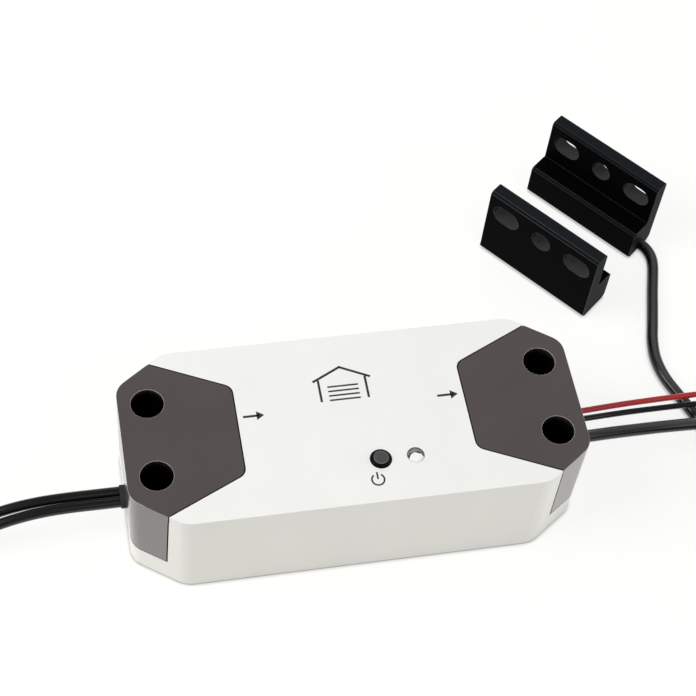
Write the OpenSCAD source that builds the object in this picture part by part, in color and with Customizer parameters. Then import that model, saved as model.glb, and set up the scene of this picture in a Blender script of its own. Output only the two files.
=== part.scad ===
// Garage door controller: a mains powered relay unit in a two-tone housing with removable end
// covers, and the magnetic door contact pair that is wired to it by a thin lead.
// Millimetres. X runs along the unit from the input end to the output end, Z is up,
// and the origin is the middle of the unit's underside.

/* [Housing] */
// Length of the unit between its end faces
body_l = 100; // [98:1:130]
// Width of the unit across its long sides
body_w = 42.8; // [42:0.2:60]
// Height of the unit
body_h = 27.5; // [27:0.5:40]
// Run of each corner chamfer along the length
corner_run = 11; // [9:0.5:12.5]
// Run of each corner chamfer across the width
corner_cut = 7.65; // [6:0.05:8.5]
// Rounding where a chamfer meets an end face
end_round = 4.5; // [2:0.5:6]
// Rounding where a chamfer meets a long side
side_round = 6; // [2:0.5:8]
// Thickness of the housing's side walls
wall = 2; // [1.6:0.1:2.4]
// Thickness of the housing's top and of the covers' tops
top_t = 2.2; // [1.8:0.1:2.8]
// Thickness of the base plate
base_t = 2.2; // [1.8:0.1:3]
// Height of the white band that runs on below the end covers
band_h = 7; // [6.6:0.1:7.4]
// Gap round the edge of the base plate
base_gap = 0.2; // [0.1:0.05:0.4]

/* [End covers] */
// Length of a cover's top, from the end face to its inner edge
cover_l = 25.1; // [22:0.1:27]
// Length of a cover's inner edge across the unit
cover_edge = 22.1; // [18:0.1:24]
// Where a cover's side edge meets the chamfer, measured from the end face
cover_side = 7.8; // [6.8:0.1:8.4]
// How far a cover's side edge leans towards the end face on its way down
cover_lean = 0.5; // [0:0.1:2]
// Rounding of the inner corners of a cover's top
cover_round = 2.5; // [1:0.1:4]
// Seam between a cover and the housing
seam = 0.25; // [0.1:0.05:0.3]
// Width of the ledge that carries a cover's inner edges
ledge_w = 1.6; // [1.2:0.1:2]
// Thickness of that ledge
ledge_t = 1.8; // [1.4:0.1:2.4]
// Lowest point of the wall between a wiring space and the electronics
partition_z = 16; // [15:0.5:19]
// Thickness of that wall
partition_t = 1.5; // [1.2:0.1:2]
// Radius of the screw wells in the covers
well_r = 3.6; // [3.2:0.1:3.8]
// Wall round a screw well
well_wall = 1.2; // [0.8:0.1:1.2]
// Distance of the screw wells from the end face
well_in = 6.4; // [6.2:0.1:6.8]
// Distance between the two screw wells of a cover
well_pitch = 18; // [17.6:0.1:18.6]
// Floor of a screw well, under the screw's head
well_floor = 1.4; // [1:0.1:2]
// Height of the bosses that the cover screws go into
boss_z = 13.2; // [13:0.1:14.5]
// Radius of the bosses and posts on the base plate
boss_r = 2.6; // [2.3:0.1:2.7]

/* [Screws] */
// Shank radius of the cover screws and base screws
screw_r = 1.2; // [1:0.05:1.4]
// Radial play of a screw in the hole that it turns into
thread_gap = 0.05; // [0.03:0.01:0.1]
// Radial play of a screw in a hole that it only passes through
pass_gap = 0.25; // [0.15:0.05:0.4]
// Head radius of the cover screws
cover_head_r = 2.5; // [2.2:0.1:2.9]
// Head height of the cover screws
cover_head_h = 2; // [1.5:0.1:2.4]
// How deep the cover screws go into their bosses
cover_screw_grip = 8; // [5:0.5:9]
// Head radius of the countersunk base screws
base_head_r = 2.2; // [1.8:0.1:2.4]
// Head height of the base screws
base_head_h = 1.2; // [1:0.1:1.4]
// How far the base screws' heads lie inside the underside
base_head_sunk = 0.2; // [0.1:0.05:0.3]
// Length of the base screws above the base plate
base_screw_grip = 8; // [6:0.5:12]
// Place of the base screws along the unit, from its middle
base_screw_x = 22; // [21.5:0.1:22.5]
// Distance of the base screws from the inner face of the long side
base_screw_in = 3.8; // [3.4:0.1:3.9]
// Shank radius of the circuit board's screws
board_screw_r = 1; // [0.8:0.05:1.1]
// Head radius of the circuit board's screws
board_head_r = 2; // [1.6:0.1:2.2]
// Head height of the circuit board's screws
board_head_h = 1.5; // [1.2:0.1:2]
// Free depth beyond a screw's tip
screw_spare = 1; // [0.5:0.1:1.5]
// Width of the driver slots and crosses
driver_w = 0.6; // [0.4:0.05:0.8]
// Depth of the driver slots and crosses
driver_d = 0.7; // [0.4:0.05:0.8]

/* [Button and light] */
// Place of the push button along the unit, as a share of its half length
button_share = 0.078; // [0.07:0.002:0.086]
// Place of the push button across the unit, as a share of its half width
button_side_share = -0.519; // [-0.541:0.002:-0.497]
// Radius of the button's hole
button_hole_r = 2.4; // [2.2:0.05:2.6]
// Running gap round the button
button_gap = 0.1; // [0.06:0.02:0.16]
// How far the button's top stands above the housing's top
button_proud = 0.7; // [0:0.05:0.8]
// Height of the cone round the button's top
button_cone = 0.9; // [0.3:0.1:1]
// Radius of the button's flat top
button_top_r = 1.55; // [1.2:0.05:1.8]
// Travel of the button
button_travel = 0.4; // [0.2:0.05:0.5]
// Length of the tube that guides the button
guide_l = 4; // [3:0.2:5]
// Wall of that tube
guide_wall = 1.2; // [0.8:0.1:1.4]
// Collar that keeps the button in its guide, beyond the hole's radius
collar_w = 0.7; // [0.5:0.1:0.9]
// Thickness of the collar
collar_t = 1.2; // [0.8:0.1:1.6]
// Play between the collar and the guide's end
collar_gap = 0.1; // [0.05:0.05:0.2]
// Radius of the switch's plunger
plunger_r = 1.7; // [1.5:0.05:1.75]
// Play between the plunger and the button pressed on it
socket_gap = 0.03; // [0.02:0.01:0.05]
// Length of plunger that the button's socket covers
socket_l = 3.5; // [2.5:0.1:3.8]
// Size of the tactile switch's body
tact_size = [6, 6, 3.5]; // [3:0.1:7]
// Floor of the tactile switch's body, under the plunger's well
tact_floor = 1; // [0.8:0.1:1.2]
// Space that is left under the plunger at the end of its travel
plunger_space = 0.5; // [0.3:0.1:0.8]
// Place of the status light along the unit, as a share of its half length
light_share = 0.23; // [0.224:0.002:0.236]
// Place of the status light across the unit, as a share of its half width
light_side_share = -0.519; // [-0.541:0.002:-0.497]
// Radius of the light pipe
light_r = 1.8; // [1.6:0.05:2]
// Gap round the light pipe in its hole
light_gap = 0.1; // [0.05:0.05:0.2]
// Width of the light pipe's collar beyond its radius
light_collar_w = 1; // [0.6:0.1:1]
// Thickness of that collar
light_collar_t = 1.2; // [0.8:0.1:1.6]
// Gap between the light's chip and the light pipe
light_above = 0.3; // [0.2:0.05:0.5]
// Crown of the light pipe's top
light_crown = 0.15; // [0.05:0.05:0.3]
// Size of the status light's chip
led_size = [3.2, 1.6, 1]; // [0.8:0.1:4]

/* [Circuit board] */
// Thickness of the circuit board
board_t = 1.6; // [1:0.1:2]
// Height of the board's underside
board_z = 6; // [5.6:0.1:6.2]
// Distance of the board's ends from the unit's end faces
board_end = 12; // [12:0.1:12.8]
// Gap between the board's edges and the long sides
board_side = 2.4; // [2:0.1:2.8]
// Play round the posts in the board's notches
notch_gap = 0.4; // [0.2:0.1:0.6]
// Distance of the board's screws from its ends
board_screw_end = 4; // [3.6:0.1:4.2]
// Distance of the board's screws from its edges
board_screw_side = 3.5; // [3.2:0.1:3.8]

/* [Wire entries] */
// Height of the wires where they pass the end faces
entry_z = 9.5; // [9.5:0.1:9.6]
// Radius of the two input wires
mains_r = 1.2; // [1:0.05:1.2]
// Place across the unit of the middle of the input wires
mains_y = -2.8; // [-2.9:0.1:-2.7]
// Distance between the input wires at the entry
mains_pitch = 2.6; // [2.6:0.05:2.7]
// Radius of the two output wires
tail_r = 0.7; // [0.6:0.05:0.7]
// Place across the unit of the black output wire
tail_black_y = 3.3; // [3.2:0.05:3.4]
// Place across the unit of the red output wire
tail_red_y = 5.3; // [5.2:0.05:5.4]
// Radius of the door contact's lead
lead_r = 1.45; // [1.3:0.05:1.45]
// Place across the unit of the door contact's lead
lead_y = -1.3; // [-1.4:0.05:-1.2]
// Rubber round the wires in a grommet
grommet_wall = 0.5; // [0.4:0.05:0.8]
// Play round the wires in a grommet
grommet_gap = 0.06; // [0.04:0.02:0.1]
// Step of a grommet's inner flange beyond its neck
grommet_step = 0.9; // [0.6:0.1:1]
// Thickness of a grommet's inner flange
grommet_flange = 1; // [0.8:0.1:1.2]
// How far a grommet's nose stands out of the end wall
grommet_nose = 1.2; // [0.5:0.1:1.5]
// Rubber round the wires in that nose
nose_wall = 0.25; // [0.2:0.05:0.4]
// Rounding of a grommet's upper corners, and the most that its nose has
grommet_round = 1.4; // [0.8:0.1:1.8]

/* [Terminals] */
// Distance between the ways of the input terminal
mains_way = 5.08; // [4.9:0.02:5.2]
// Depth of the input terminal
mains_block_d = 8; // [6.5:0.1:8.4]
// Height of the input terminal
mains_block_h = 10; // [9:0.1:12]
// Radius of the input terminal's wire openings
mains_opening_r = 1.35; // [1.3:0.05:1.5]
// Distance between the ways of the output terminal
tail_way = 3.5; // [3.4:0.02:3.6]
// Depth of the output terminal
tail_block_d = 7; // [6:0.1:7.4]
// Height of the output terminal
tail_block_h = 8.5; // [8.4:0.1:10]
// Radius of the output terminal's wire openings
tail_opening_r = 0.9; // [0.85:0.05:1]
// Place across the unit of the output terminal's middle
tail_block_y = 1.5; // [1.4:0.05:1.6]
// Height of the wire openings above the board
opening_up = 3.2; // [3:0.05:3.2]
// Depth of the wire openings
opening_d = 5; // [3:0.1:5.5]
// Depth of the wells for the terminals' screws
terminal_well = 3.6; // [3:0.1:3.8]
// Height of the terminals' screws
terminal_screw_h = 2.4; // [1.8:0.1:2.8]
// Share of a way that a terminal's screw well takes up
terminal_well_share = 0.74; // [0.6:0.02:0.78]
// Play round the terminals' screws
terminal_gap = 0.1; // [0.05:0.05:0.15]

/* [Power supply] */
// Radius of the fuse
fuse_r = 1.9; // [1.4:0.1:2.2]
// Length of the fuse
fuse_l = 8; // [7:0.1:8.4]
// Radius of the fuse's end caps beyond its body
fuse_cap = 0.2; // [0.1:0.05:0.3]
// Middle of the fuse, as shares of the board's half length and half width
fuse_share = [-0.668, 0.559]; // [-1:0.001:1]
// Radius of the varistor
varistor_r = 3.5; // [2.5:0.1:3.8]
// Thickness of the varistor
varistor_t = 3; // [2:0.1:3.4]
// Radius of the varistor's legs
varistor_leg = 0.5; // [0.3:0.05:0.6]
// Middle of the varistor, as shares of the board's half length and half width
varistor_share = [-0.692, 0.176]; // [-1:0.001:1]
// Size of the mains filter capacitor
filter_size = [12, 6, 11]; // [5:0.1:14]
// Middle of the mains filter capacitor, as shares of the board's half length and half width
filter_share = [-0.347, 0.541]; // [-1:0.001:1]
// Size of the bridge rectifier
bridge_size = [5, 4, 2.4]; // [2:0.1:6]
// Middle of the bridge rectifier, as shares of the board's half length and half width
bridge_share = [-0.684, -0.647]; // [-1:0.001:1]
// Radius of the bulk capacitor
bulk_r = 4; // [3:0.1:4.5]
// Height of the bulk capacitor
bulk_h = 13; // [9:0.5:15]
// Middle of the bulk capacitor, as shares of the board's half length and half width
bulk_share = [-0.4, -0.6]; // [-1:0.001:1]
// Radius of the output capacitor
smooth_r = 3.2; // [2.5:0.1:3.6]
// Height of the output capacitor
smooth_h = 11; // [8:0.5:14]
// Depth of the rolled neck near a capacitor's foot
neck_d = 0.4; // [0.2:0.05:0.6]
// Height of that neck above the board, and its own height
neck_z = 1.4; // [1:0.1:2]
// Middle of the output capacitor, as shares of the board's half length and half width
smooth_share = [-0.171, -0.676]; // [-1:0.001:1]
// Size of the converter chip
chip_size = [5, 4, 1.6]; // [1:0.1:6]
// Middle of the converter chip, as shares of the board's half length and half width
chip_share = [-0.645, -0.188]; // [-1:0.001:1]
// Size of the transformer's core
core_size = [13, 5, 12]; // [4:0.1:14]
// Middle of the transformer, as shares of the board's half length and half width
core_share = [-0.342, 0]; // [-1:0.001:1]
// Thickness of the core's outer legs and yokes
core_leg = 2; // [1.6:0.1:2.4]
// Thickness of the core's middle leg
core_mid = 3.4; // [3:0.1:4]
// How far the winding stands out at the core's faces
winding_out = 2.2; // [1.4:0.1:2.4]
// Play between the winding and the core
winding_gap = 0.1; // [0.05:0.05:0.2]

/* [Relay] */
// Length of the relay
relay_l = 19; // [18.2:0.1:19.4]
// Width of the relay
relay_w = 14.6; // [13:0.1:15]
// Gap between the relay and the housing's top
relay_over = 2.4; // [1:0.1:4]
// Height of the relay's base, armature, contacts and lid, beside its coil
relay_head = 7.3; // [7.2:0.1:8]
// Middle of the relay, as shares of the board's half length and half width
relay_share = [0.25, 0.4]; // [-1:0.001:1]
// Thickness of the relay's base
relay_base_t = 1.6; // [1.2:0.1:2]
// Wall of the relay's case
relay_wall = 0.8; // [0.6:0.1:1]
// Radius of the relay's coil, as a share of the relay's length
coil_r_share = 0.221; // [0.18:0.001:0.224]
// Distance of the coil's middle from the relay's end, as a share of the relay's length
coil_in_share = 0.358; // [0.35:0.001:0.362]
// Radius of the iron core in the coil
relay_core_r = 1.5; // [1.2:0.1:1.8]
// How far the iron core stands above the coil
relay_core_up = 0.4; // [0.2:0.1:0.6]
// Thickness of the yoke
relay_yoke_t = 1.2; // [1:0.1:1.4]
// Width of the yoke and the armature
relay_iron_w = 8; // [6:0.1:9]
// Distance of the yoke from the relay's end
relay_yoke_in = 1.2; // [1:0.1:1.4]
// Radius of the armature's pivot
pivot_r = 0.35; // [0.25:0.05:0.4]
// Thickness of the armature
armature_t = 1; // [0.8:0.1:1.2]
// Room for the contacts between the armature and the relay's far end
armature_room = 4.8; // [4.6:0.1:5]
// Gap between the armature and the iron core
armature_gap = 0.6; // [0.55:0.05:0.8]
// Play at the pivot of the armature on the yoke
armature_play = 0.1; // [0.06:0.02:0.14]
// Gap that the armature's contact closes
contact_gap = 0.85; // [0.85:0.05:1.2]
// Radius of the relay's contact buttons
contact_r = 1; // [0.7:0.05:1]
// Height of the relay's contact buttons
contact_t = 0.45; // [0.3:0.05:0.5]
// Distance of the contacts from the armature's free end
contact_in = 1.1; // [1:0.05:1.4]
// Thickness of the contact posts
contact_post_t = 1.2; // [1:0.1:1.3]
// Width of the contact posts
contact_post_w = 3; // [2:0.1:4]

/* [Radio] */
// Size of the radio's own board
radio_size = [13.4, 8.8, 0.8]; // [0.6:0.1:15]
// Middle of the radio, as shares of the board's half length and half width
radio_share = [0.568, -0.41]; // [-1:0.001:1]
// Size of the radio's shield can
shield_size = [9, 7.8, 2.2]; // [1.8:0.1:10]
// Distance of the shield can from the radio board's inner end
shield_in = 0.8; // [0.4:0.1:1.2]

/* [Door contact pair] */
// Length of each half
contact_l = 32; // [31.5:0.5:40]
// Depth of each half, from its back to its front
contact_d = 9.5; // [9.2:0.1:12]
// Height of each half
contact_h = 22; // [20:0.5:26]
// Height of the block at the front of each half
contact_block_h = 9.4; // [9.2:0.1:12]
// Thickness of the flange that is screwed on
contact_flange = 4; // [3:0.1:4.4]
// Radius of the fixing holes
fixing_r = 2.6; // [2:0.05:2.8]
// Distance between the fixing holes
fixing_pitch = 10.6; // [10:0.1:11]
// Extra length of the two outer, slotted holes
fixing_slot = 2.2; // [1.6:0.1:3]
// Distance of the fixing holes from the top edge
fixing_down = 5.6; // [5:0.1:6]
// Bevel along the bottom edges
contact_foot_bevel = 1; // [0.6:0.1:1.2]
// Bevel along the upper edges
contact_bevel = 0.6; // [0.3:0.1:0.8]
// Place of the reed half's middle along the unit
reed_x = 75.5; // [75:0.1:76]
// Place of the reed half's middle across the unit
reed_y = 69.3; // [69:0.1:70]
// Turn of the pair about the vertical
pair_turn = -50; // [-50:1:-49]
// Gap between the fronts of the two halves
pair_gap = 13.4; // [13:0.1:20]
// How far the magnet half stands along from the reed half
pair_shift = 2.2; // [0:0.1:4]
// Wall round the hollow in each half
contact_wall = 1.7; // [1.4:0.1:1.9]
// Height of the hollow's roof above the hollow
contact_roof = 2; // [1.6:0.1:2.4]
// How far the filling lies inside the underside
filling_sunk = 0.3; // [0.2:0.05:0.5]
// Radius of the reed's glass
reed_r = 1.15; // [1:0.05:1.3]
// Length of the reed's glass
reed_l = 14; // [10:0.5:14.5]
// Radius of the reed's end wires
reed_pin_r = 0.35; // [0.25:0.05:0.5]
// Length of each of the reed's end wires
reed_pin_l = 4.5; // [3:0.1:4.7]
// Space beyond the reed's end wires
reed_end = 1; // [0.5:0.1:1.2]
// Height of the reed above the underside
reed_z = 5.4; // [5.2:0.1:5.6]
// Play round the glass in the filling
reed_gap = 0.03; // [0.02:0.01:0.05]
// Height of the lead where it leaves the reed half
lead_exit_z = 1.9; // [1.9:0.05:2]
// Length of the bar magnet
magnet_l = 18; // [14:0.5:24]
// Height of the bar magnet
magnet_h = 4.6; // [3:0.1:5]
// Play round the bar magnet
magnet_gap = 0.1; // [0.05:0.05:0.2]

/* [Lead coil] */
// Loops of lead in the coil
coil_turns = 17.75; // [13.75:1:19.75]
// Gap between neighbouring loops
coil_gap = 0.6; // [0.5:0.05:0.9]
// Diameter of the coil at the middle of its loops
coil_mid_d = 32.5; // [31:0.5:35]
// Thickness of the tie's band
tie_t = 0.6; // [0.4:0.1:0.7]
// Width of the tie's band
tie_w = 4; // [3:0.5:6]
// Play between the tie and the coil
tie_gap = 0.2; // [0.1:0.05:0.3]
// Direction of the tie from the coil's middle
tie_turn = -45; // [-60:5:-30]
// Length of bared core at the ends of the input wires
mains_bare_l = 7; // [5:0.5:9]
// Radius of bared core at the ends of the input wires
mains_bare_r = 0.7; // [0.5:0.05:0.9]
// Length of bared core at the ends of the output wires
tail_bare_l = 5; // [4:0.5:7]
// Radius of bared core at the ends of the output wires
tail_bare_r = 0.4; // [0.3:0.05:0.5]
// Radius of the two cores inside the door contact's lead
lead_core_r = 0.55; // [0.4:0.05:0.6]

/* [Hidden] */

$fn = 48;
round_steps = 6;
over = 0.3;

// Heights and half sizes that the pieces share
x_end = body_l / 2;
y_side = body_w / 2;
button_x = x_end * button_share;
button_y = y_side * button_side_share;
light_x = x_end * light_share;
light_y = y_side * light_side_share;
x_side = x_end - corner_run;
y_end = y_side - corner_cut;
roof_z = body_h - top_t;
board_top = board_z + board_t;
board_x = x_end - board_end;
board_y = y_side - wall - board_side;

// Place on the board from its shares
function on_share(share) = [share[0] * board_x, share[1] * board_y];

fuse_at = on_share(fuse_share);
varistor_at = on_share(varistor_share);
filter_at = on_share(filter_share);
bridge_at = on_share(bridge_share);
bulk_at = on_share(bulk_share);
smooth_at = on_share(smooth_share);
chip_at = on_share(chip_share);
core_at = on_share(core_share);
relay_at = on_share(relay_share);
radio_at = on_share(radio_share);
board_screw_x = board_x - board_screw_end;
board_screw_y = board_y - board_screw_side;
base_screw_y = y_side - wall - base_screw_in;
notch_r = boss_r + notch_gap;
well_x = x_end - well_in;
well_y = well_pitch / 2;
well_seat = boss_z + well_floor;
opening_z = board_top + opening_up;
lead_d = 2 * lead_r;

// Plan of the unit
corners = [
    [x_end, -y_end], [x_end, y_end], [x_side, y_side], [-x_side, y_side],
    [-x_end, y_end], [-x_end, -y_end], [-x_side, -y_side], [x_side, -y_side]
];
corner_rounds = [
    end_round, end_round, side_round, side_round,
    end_round, end_round, side_round, side_round
];

function unit(v) = v / norm(v);
function mid(a, b) = (a + b) / 2;
function clamp01(t) = min(1, max(0, t));
function ease(t) = t * t * (3 - 2 * t);

// Outward normal of an edge of an anticlockwise outline
function outward(a, b) = let (d = unit(b - a)) [d[1], -d[0]];

// An outline moved inwards by d
function inset(pts, d) =
    let (n = len(pts))
    [
        for (i = [0:n - 1])
            let (before = outward(pts[(i + n - 1) % n], pts[i]))
            let (after = outward(pts[i], pts[(i + 1) % n]))
            pts[i] - d * (before + after) / (1 + before * after)
    ];

// The arc that rounds corner b between a and c
function corner_arc(a, b, c, r) =
    let (u = unit(a - b), v = unit(c - b))
    let (half = acos(u * v) / 2)
    let (m = b + unit(u + v) * r / sin(half))
    let (first = b + u * r / tan(half) - m)
    let (start = atan2(first[1], first[0]), sweep = 180 - 2 * half)
    r <= 0 ? [b] : [
        for (i = [0:round_steps])
            m + r * [cos(start + sweep * i / round_steps), sin(start + sweep * i / round_steps)]
    ];

function rounded(pts, radii) =
    let (n = len(pts))
    [
        for (i = [0:n - 1])
            each corner_arc(pts[(i + n - 1) % n], pts[i], pts[(i + 1) % n], radii[i])
    ];

module plan(d) {
    polygon(rounded(inset(corners, d), [for (r = corner_rounds) max(r - d, over)]));
}

// Top of an end cover: its inner edge and its two slanting edges, grown by d
zone_x = x_end - cover_l;
zone_run = cover_l - cover_side;
zone_rise = y_end + corner_cut * cover_side / corner_run - cover_edge / 2;
zone_far = x_end - cover_side / 2;

function slant_y(x, d) =
    let (n = unit([-zone_rise, zone_run]))
    cover_edge / 2 + d * n[1] + zone_rise / zone_run * (x - zone_x - d * n[0]);

function cover_zone(d) =
    let (x = zone_x - d, y = slant_y(zone_x - d, d), y_far = slant_y(zone_far, d))
    rounded(
        [[x, -y], [zone_far, -y_far], [x_end + wall, -y_far],
         [x_end + wall, y_far], [zone_far, y_far], [x, y]],
        [cover_round, 0, 0, 0, 0, cover_round]
    );

// Space that the output cover fills, drawn in by gap
module cover_space(gap) {
    translate([0, 0, roof_z])
        linear_extrude(top_t + over)
            polygon(cover_zone(-gap));
    rotate([90, 0, 0])
        linear_extrude(body_w + wall, center = true)
            polygon([
                [x_end - cover_side + gap, body_h + over],
                [x_end + wall, body_h + over],
                [x_end + wall, band_h + gap],
                [x_end - cover_side + cover_lean + gap, band_h + gap]
            ]);
}

module at_both_ends() {
    children();
    mirror([1, 0, 0]) children();
}

module at_four(x, y) {
    for (i = [-1, 1], j = [-1, 1])
        translate([i * x, j * y, 0]) children();
}

module at_wells() {
    for (j = [-1, 1])
        translate([well_x, j * well_y, 0]) children();
}

// A box on the circuit board, by its size and its middle
module on_board(size, at) {
    translate([at[0] - size[0] / 2, at[1] - size[1] / 2, board_top]) cube(size);
}

// Driver cross or slot, cut down from z
module driver_cut(z, reach, cuts) {
    for (i = [0:cuts - 1])
        translate([0, 0, z])
            rotate([0, 0, 90 * i])
                cube([2 * reach, driver_w, 2 * driver_d], center = true);
}

// Ledge under a cover's inner edges, and the wall below it
module cover_ledge() {
    difference() {
        intersection() {
            translate([0, 0, roof_z - ledge_t])
                linear_extrude(ledge_t + over)
                    polygon(cover_zone(ledge_w));
            translate([zone_x - 2 * ledge_w, -y_side, 0])
                cube([zone_run - cover_side / 4 + 2 * ledge_w, body_w, body_h]);
            linear_extrude(body_h) plan(wall - over);
        }
        translate([0, 0, roof_z - ledge_t - over])
            linear_extrude(ledge_t + 2 * over)
                polygon(cover_zone(-ledge_w));
        translate([0, 0, roof_z])
            linear_extrude(top_t)
                polygon(cover_zone(0));
    }
    translate([zone_x - partition_t, -cover_edge / 2, partition_z])
        cube([partition_t, cover_edge, roof_z - ledge_t + over - partition_z]);
}

module upper_housing() {
    color("#f2f3f0")
        difference() {
            union() {
                difference() {
                    linear_extrude(body_h) plan(0);
                    translate([0, 0, -over]) linear_extrude(roof_z + over) plan(wall);
                    at_both_ends() cover_space(0);
                }
                at_both_ends() cover_ledge();
                at_four(base_screw_x, base_screw_y)
                    translate([0, 0, base_t])
                        cylinder(r = boss_r, h = roof_z - base_t + over);
                translate([button_x, button_y, roof_z - guide_l])
                    cylinder(r = button_hole_r + guide_wall, h = guide_l + over);
            }
            at_four(base_screw_x, base_screw_y)
                translate([0, 0, base_t - over])
                    cylinder(r = screw_r + thread_gap, h = base_screw_grip + screw_spare + over);
            translate([button_x, button_y, roof_z - guide_l - over])
                cylinder(r = button_hole_r, h = guide_l + top_t + 2 * over);
            translate([light_x, light_y, roof_z - over])
                cylinder(r = light_r + light_gap, h = top_t + 2 * over);
        }
}

// Head of a base screw with its cone, grown by gap
module base_head(gap) {
    translate([0, 0, base_head_sunk])
        cylinder(r1 = base_head_r + gap, r2 = screw_r + gap, h = base_head_h);
}

module base_plate() {
    color("#e9eae6")
        difference() {
            union() {
                linear_extrude(base_t) plan(wall + base_gap);
                at_four(board_screw_x, board_screw_y)
                    cylinder(r = boss_r, h = board_z);
                at_both_ends() at_wells() cylinder(r = boss_r, h = boss_z);
            }
            at_four(board_screw_x, board_screw_y)
                translate([0, 0, base_t])
                    cylinder(r = board_screw_r + thread_gap, h = board_z);
            at_both_ends()
                at_wells()
                    translate([0, 0, boss_z - cover_screw_grip - screw_spare])
                        cylinder(r = screw_r + thread_gap, h = boss_z);
            at_four(base_screw_x, base_screw_y) {
                base_head(pass_gap);
                translate([0, 0, -over])
                    cylinder(r = base_head_r + pass_gap, h = base_head_sunk + over);
                translate([0, 0, -over])
                    cylinder(r = screw_r + pass_gap, h = base_t + 2 * over);
            }
        }
}

module base_screws() {
    color("#c9ccd0")
        at_four(base_screw_x, base_screw_y)
            difference() {
                union() {
                    base_head(0);
                    translate([0, 0, base_head_sunk + base_head_h - over])
                        cylinder(r = screw_r, h = base_t + base_screw_grip - base_head_sunk
                            - base_head_h + over);
                }
                driver_cut(base_head_sunk, base_head_r * 0.6, 2);
            }
}

// Grommet necks: the span across the end wall, and the top
mains_neck = [
    mains_y - mains_pitch / 2 - mains_r - grommet_wall,
    mains_y + mains_pitch / 2 + mains_r + grommet_wall
];
tail_neck = [lead_y - lead_r - grommet_wall, tail_red_y + tail_r + grommet_wall];
mains_neck_top = entry_z + mains_r + grommet_wall;
tail_neck_top = entry_z + lead_r + grommet_wall;

// Outline of a grommet in the end wall, with rounded upper corners, and lower ones if asked
module grommet_outline(span, top, bottom, grow, top_round = grommet_round, low_round = 0) {
    polygon(rounded(
        [[span[0] - grow, bottom], [span[1] + grow, bottom],
         [span[1] + grow, top + grow], [span[0] - grow, top + grow]],
        [low_round, low_round, top_round, top_round]
    ));
}

// A slab across the unit at the output end, between two distances from the end face
module end_slab(from, to) {
    translate([x_end + from, 0, 0])
        rotate([90, 0, 90])
            linear_extrude(to - from) children();
}

// Cover for the output end, with the notch for its grommet
module end_cover(span, top) {
    difference() {
        union() {
            intersection() {
                cover_space(seam);
                union() {
                    translate([0, 0, roof_z]) linear_extrude(top_t) plan(0);
                    translate([0, 0, band_h])
                        linear_extrude(body_h - band_h)
                            difference() {
                                plan(0);
                                plan(wall);
                            }
                }
            }
            at_wells()
                translate([0, 0, boss_z])
                    cylinder(r = well_r + well_wall, h = roof_z - boss_z + over);
        }
        at_wells() {
            translate([0, 0, well_seat]) cylinder(r = well_r, h = body_h);
            translate([0, 0, boss_z - over])
                cylinder(r = screw_r + pass_gap, h = well_floor + 2 * over);
        }
        end_slab(-wall - well_wall, wall) grommet_outline(span, top, band_h - over, seam);
    }
}

module input_cover() {
    color("#5a5553")
        mirror([1, 0, 0]) end_cover(mains_neck, mains_neck_top);
}

module output_cover() {
    color("#5a5553") end_cover(tail_neck, tail_neck_top);
}

module cover_screws() {
    at_wells()
        difference() {
            union() {
                translate([0, 0, well_seat]) cylinder(r = cover_head_r, h = cover_head_h);
                translate([0, 0, boss_z - cover_screw_grip])
                    cylinder(r = screw_r, h = cover_screw_grip + well_floor + over);
            }
            driver_cut(well_seat + cover_head_h, cover_head_r * 0.6, 2);
        }
}

module input_cover_screws() {
    color("#3a3a3c") mirror([1, 0, 0]) cover_screws();
}

module output_cover_screws() {
    color("#3a3a3c") cover_screws();
}

// A grommet's nose fits closer round the wires than its neck, with nearly half-round sides
nose_grow = nose_wall - grommet_wall;
nose_round = min(grommet_round, 0.95 * (mains_r + nose_wall));

// A grommet at the output end: neck, inner flange and a nose round the wires, bored for them
module grommet(span, top, wires) {
    difference() {
        union() {
            end_slab(-wall - seam - grommet_flange, 0)
                grommet_outline(span, top, band_h, 0);
            end_slab(-wall - seam - grommet_flange, -wall - seam)
                grommet_outline(span, top, band_h, grommet_step);
            end_slab(-over, grommet_nose)
                grommet_outline(
                    span, top, 2 * entry_z - top - nose_grow, nose_grow, nose_round, nose_round
                );
        }
        for (w = wires)
            translate([x_end, w[0], entry_z])
                rotate([0, 90, 0])
                    cylinder(r = w[1] + grommet_gap, h = 4 * wall + 4 * grommet_flange, center = true);
    }
}

module input_grommet() {
    color("#2b2b2d")
        mirror([1, 0, 0])
            grommet(mains_neck, mains_neck_top,
                [for (j = [-1, 1]) [mains_y + j * mains_pitch / 2, mains_r]]);
}

module output_grommet() {
    color("#2b2b2d")
        grommet(tail_neck, tail_neck_top,
            [[lead_y, lead_r], [tail_black_y, tail_r], [tail_red_y, tail_r]]);
}

module circuit_board() {
    color("#1f6b45")
        difference() {
            translate([-board_x, -board_y, board_z]) cube([2 * board_x, 2 * board_y, board_t]);
            at_four(base_screw_x, base_screw_y)
                translate([0, 0, board_z - over])
                    cylinder(r = notch_r, h = board_t + 2 * over);
            at_four(base_screw_x, board_y)
                translate([0, 0, board_z + board_t / 2])
                    cube([2 * notch_r, 2 * (board_y - base_screw_y), 2 * board_t], center = true);
            at_four(board_screw_x, board_screw_y)
                translate([0, 0, board_z - over])
                    cylinder(r = board_screw_r + pass_gap, h = board_t + 2 * over);
        }
}

module board_screws() {
    color("#c9ccd0")
        at_four(board_screw_x, board_screw_y)
            difference() {
                union() {
                    translate([0, 0, board_top]) cylinder(r = board_head_r, h = board_head_h);
                    translate([0, 0, base_t + over])
                        cylinder(r = board_screw_r, h = board_top - base_t);
                }
                driver_cut(board_top + board_head_h, board_head_r * 0.6, 2);
            }
}

// Places of a terminal's ways across the unit
function way_places(middle, way, ways) =
    [for (i = [0:ways - 1]) middle + (i - (ways - 1) / 2) * way];

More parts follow.
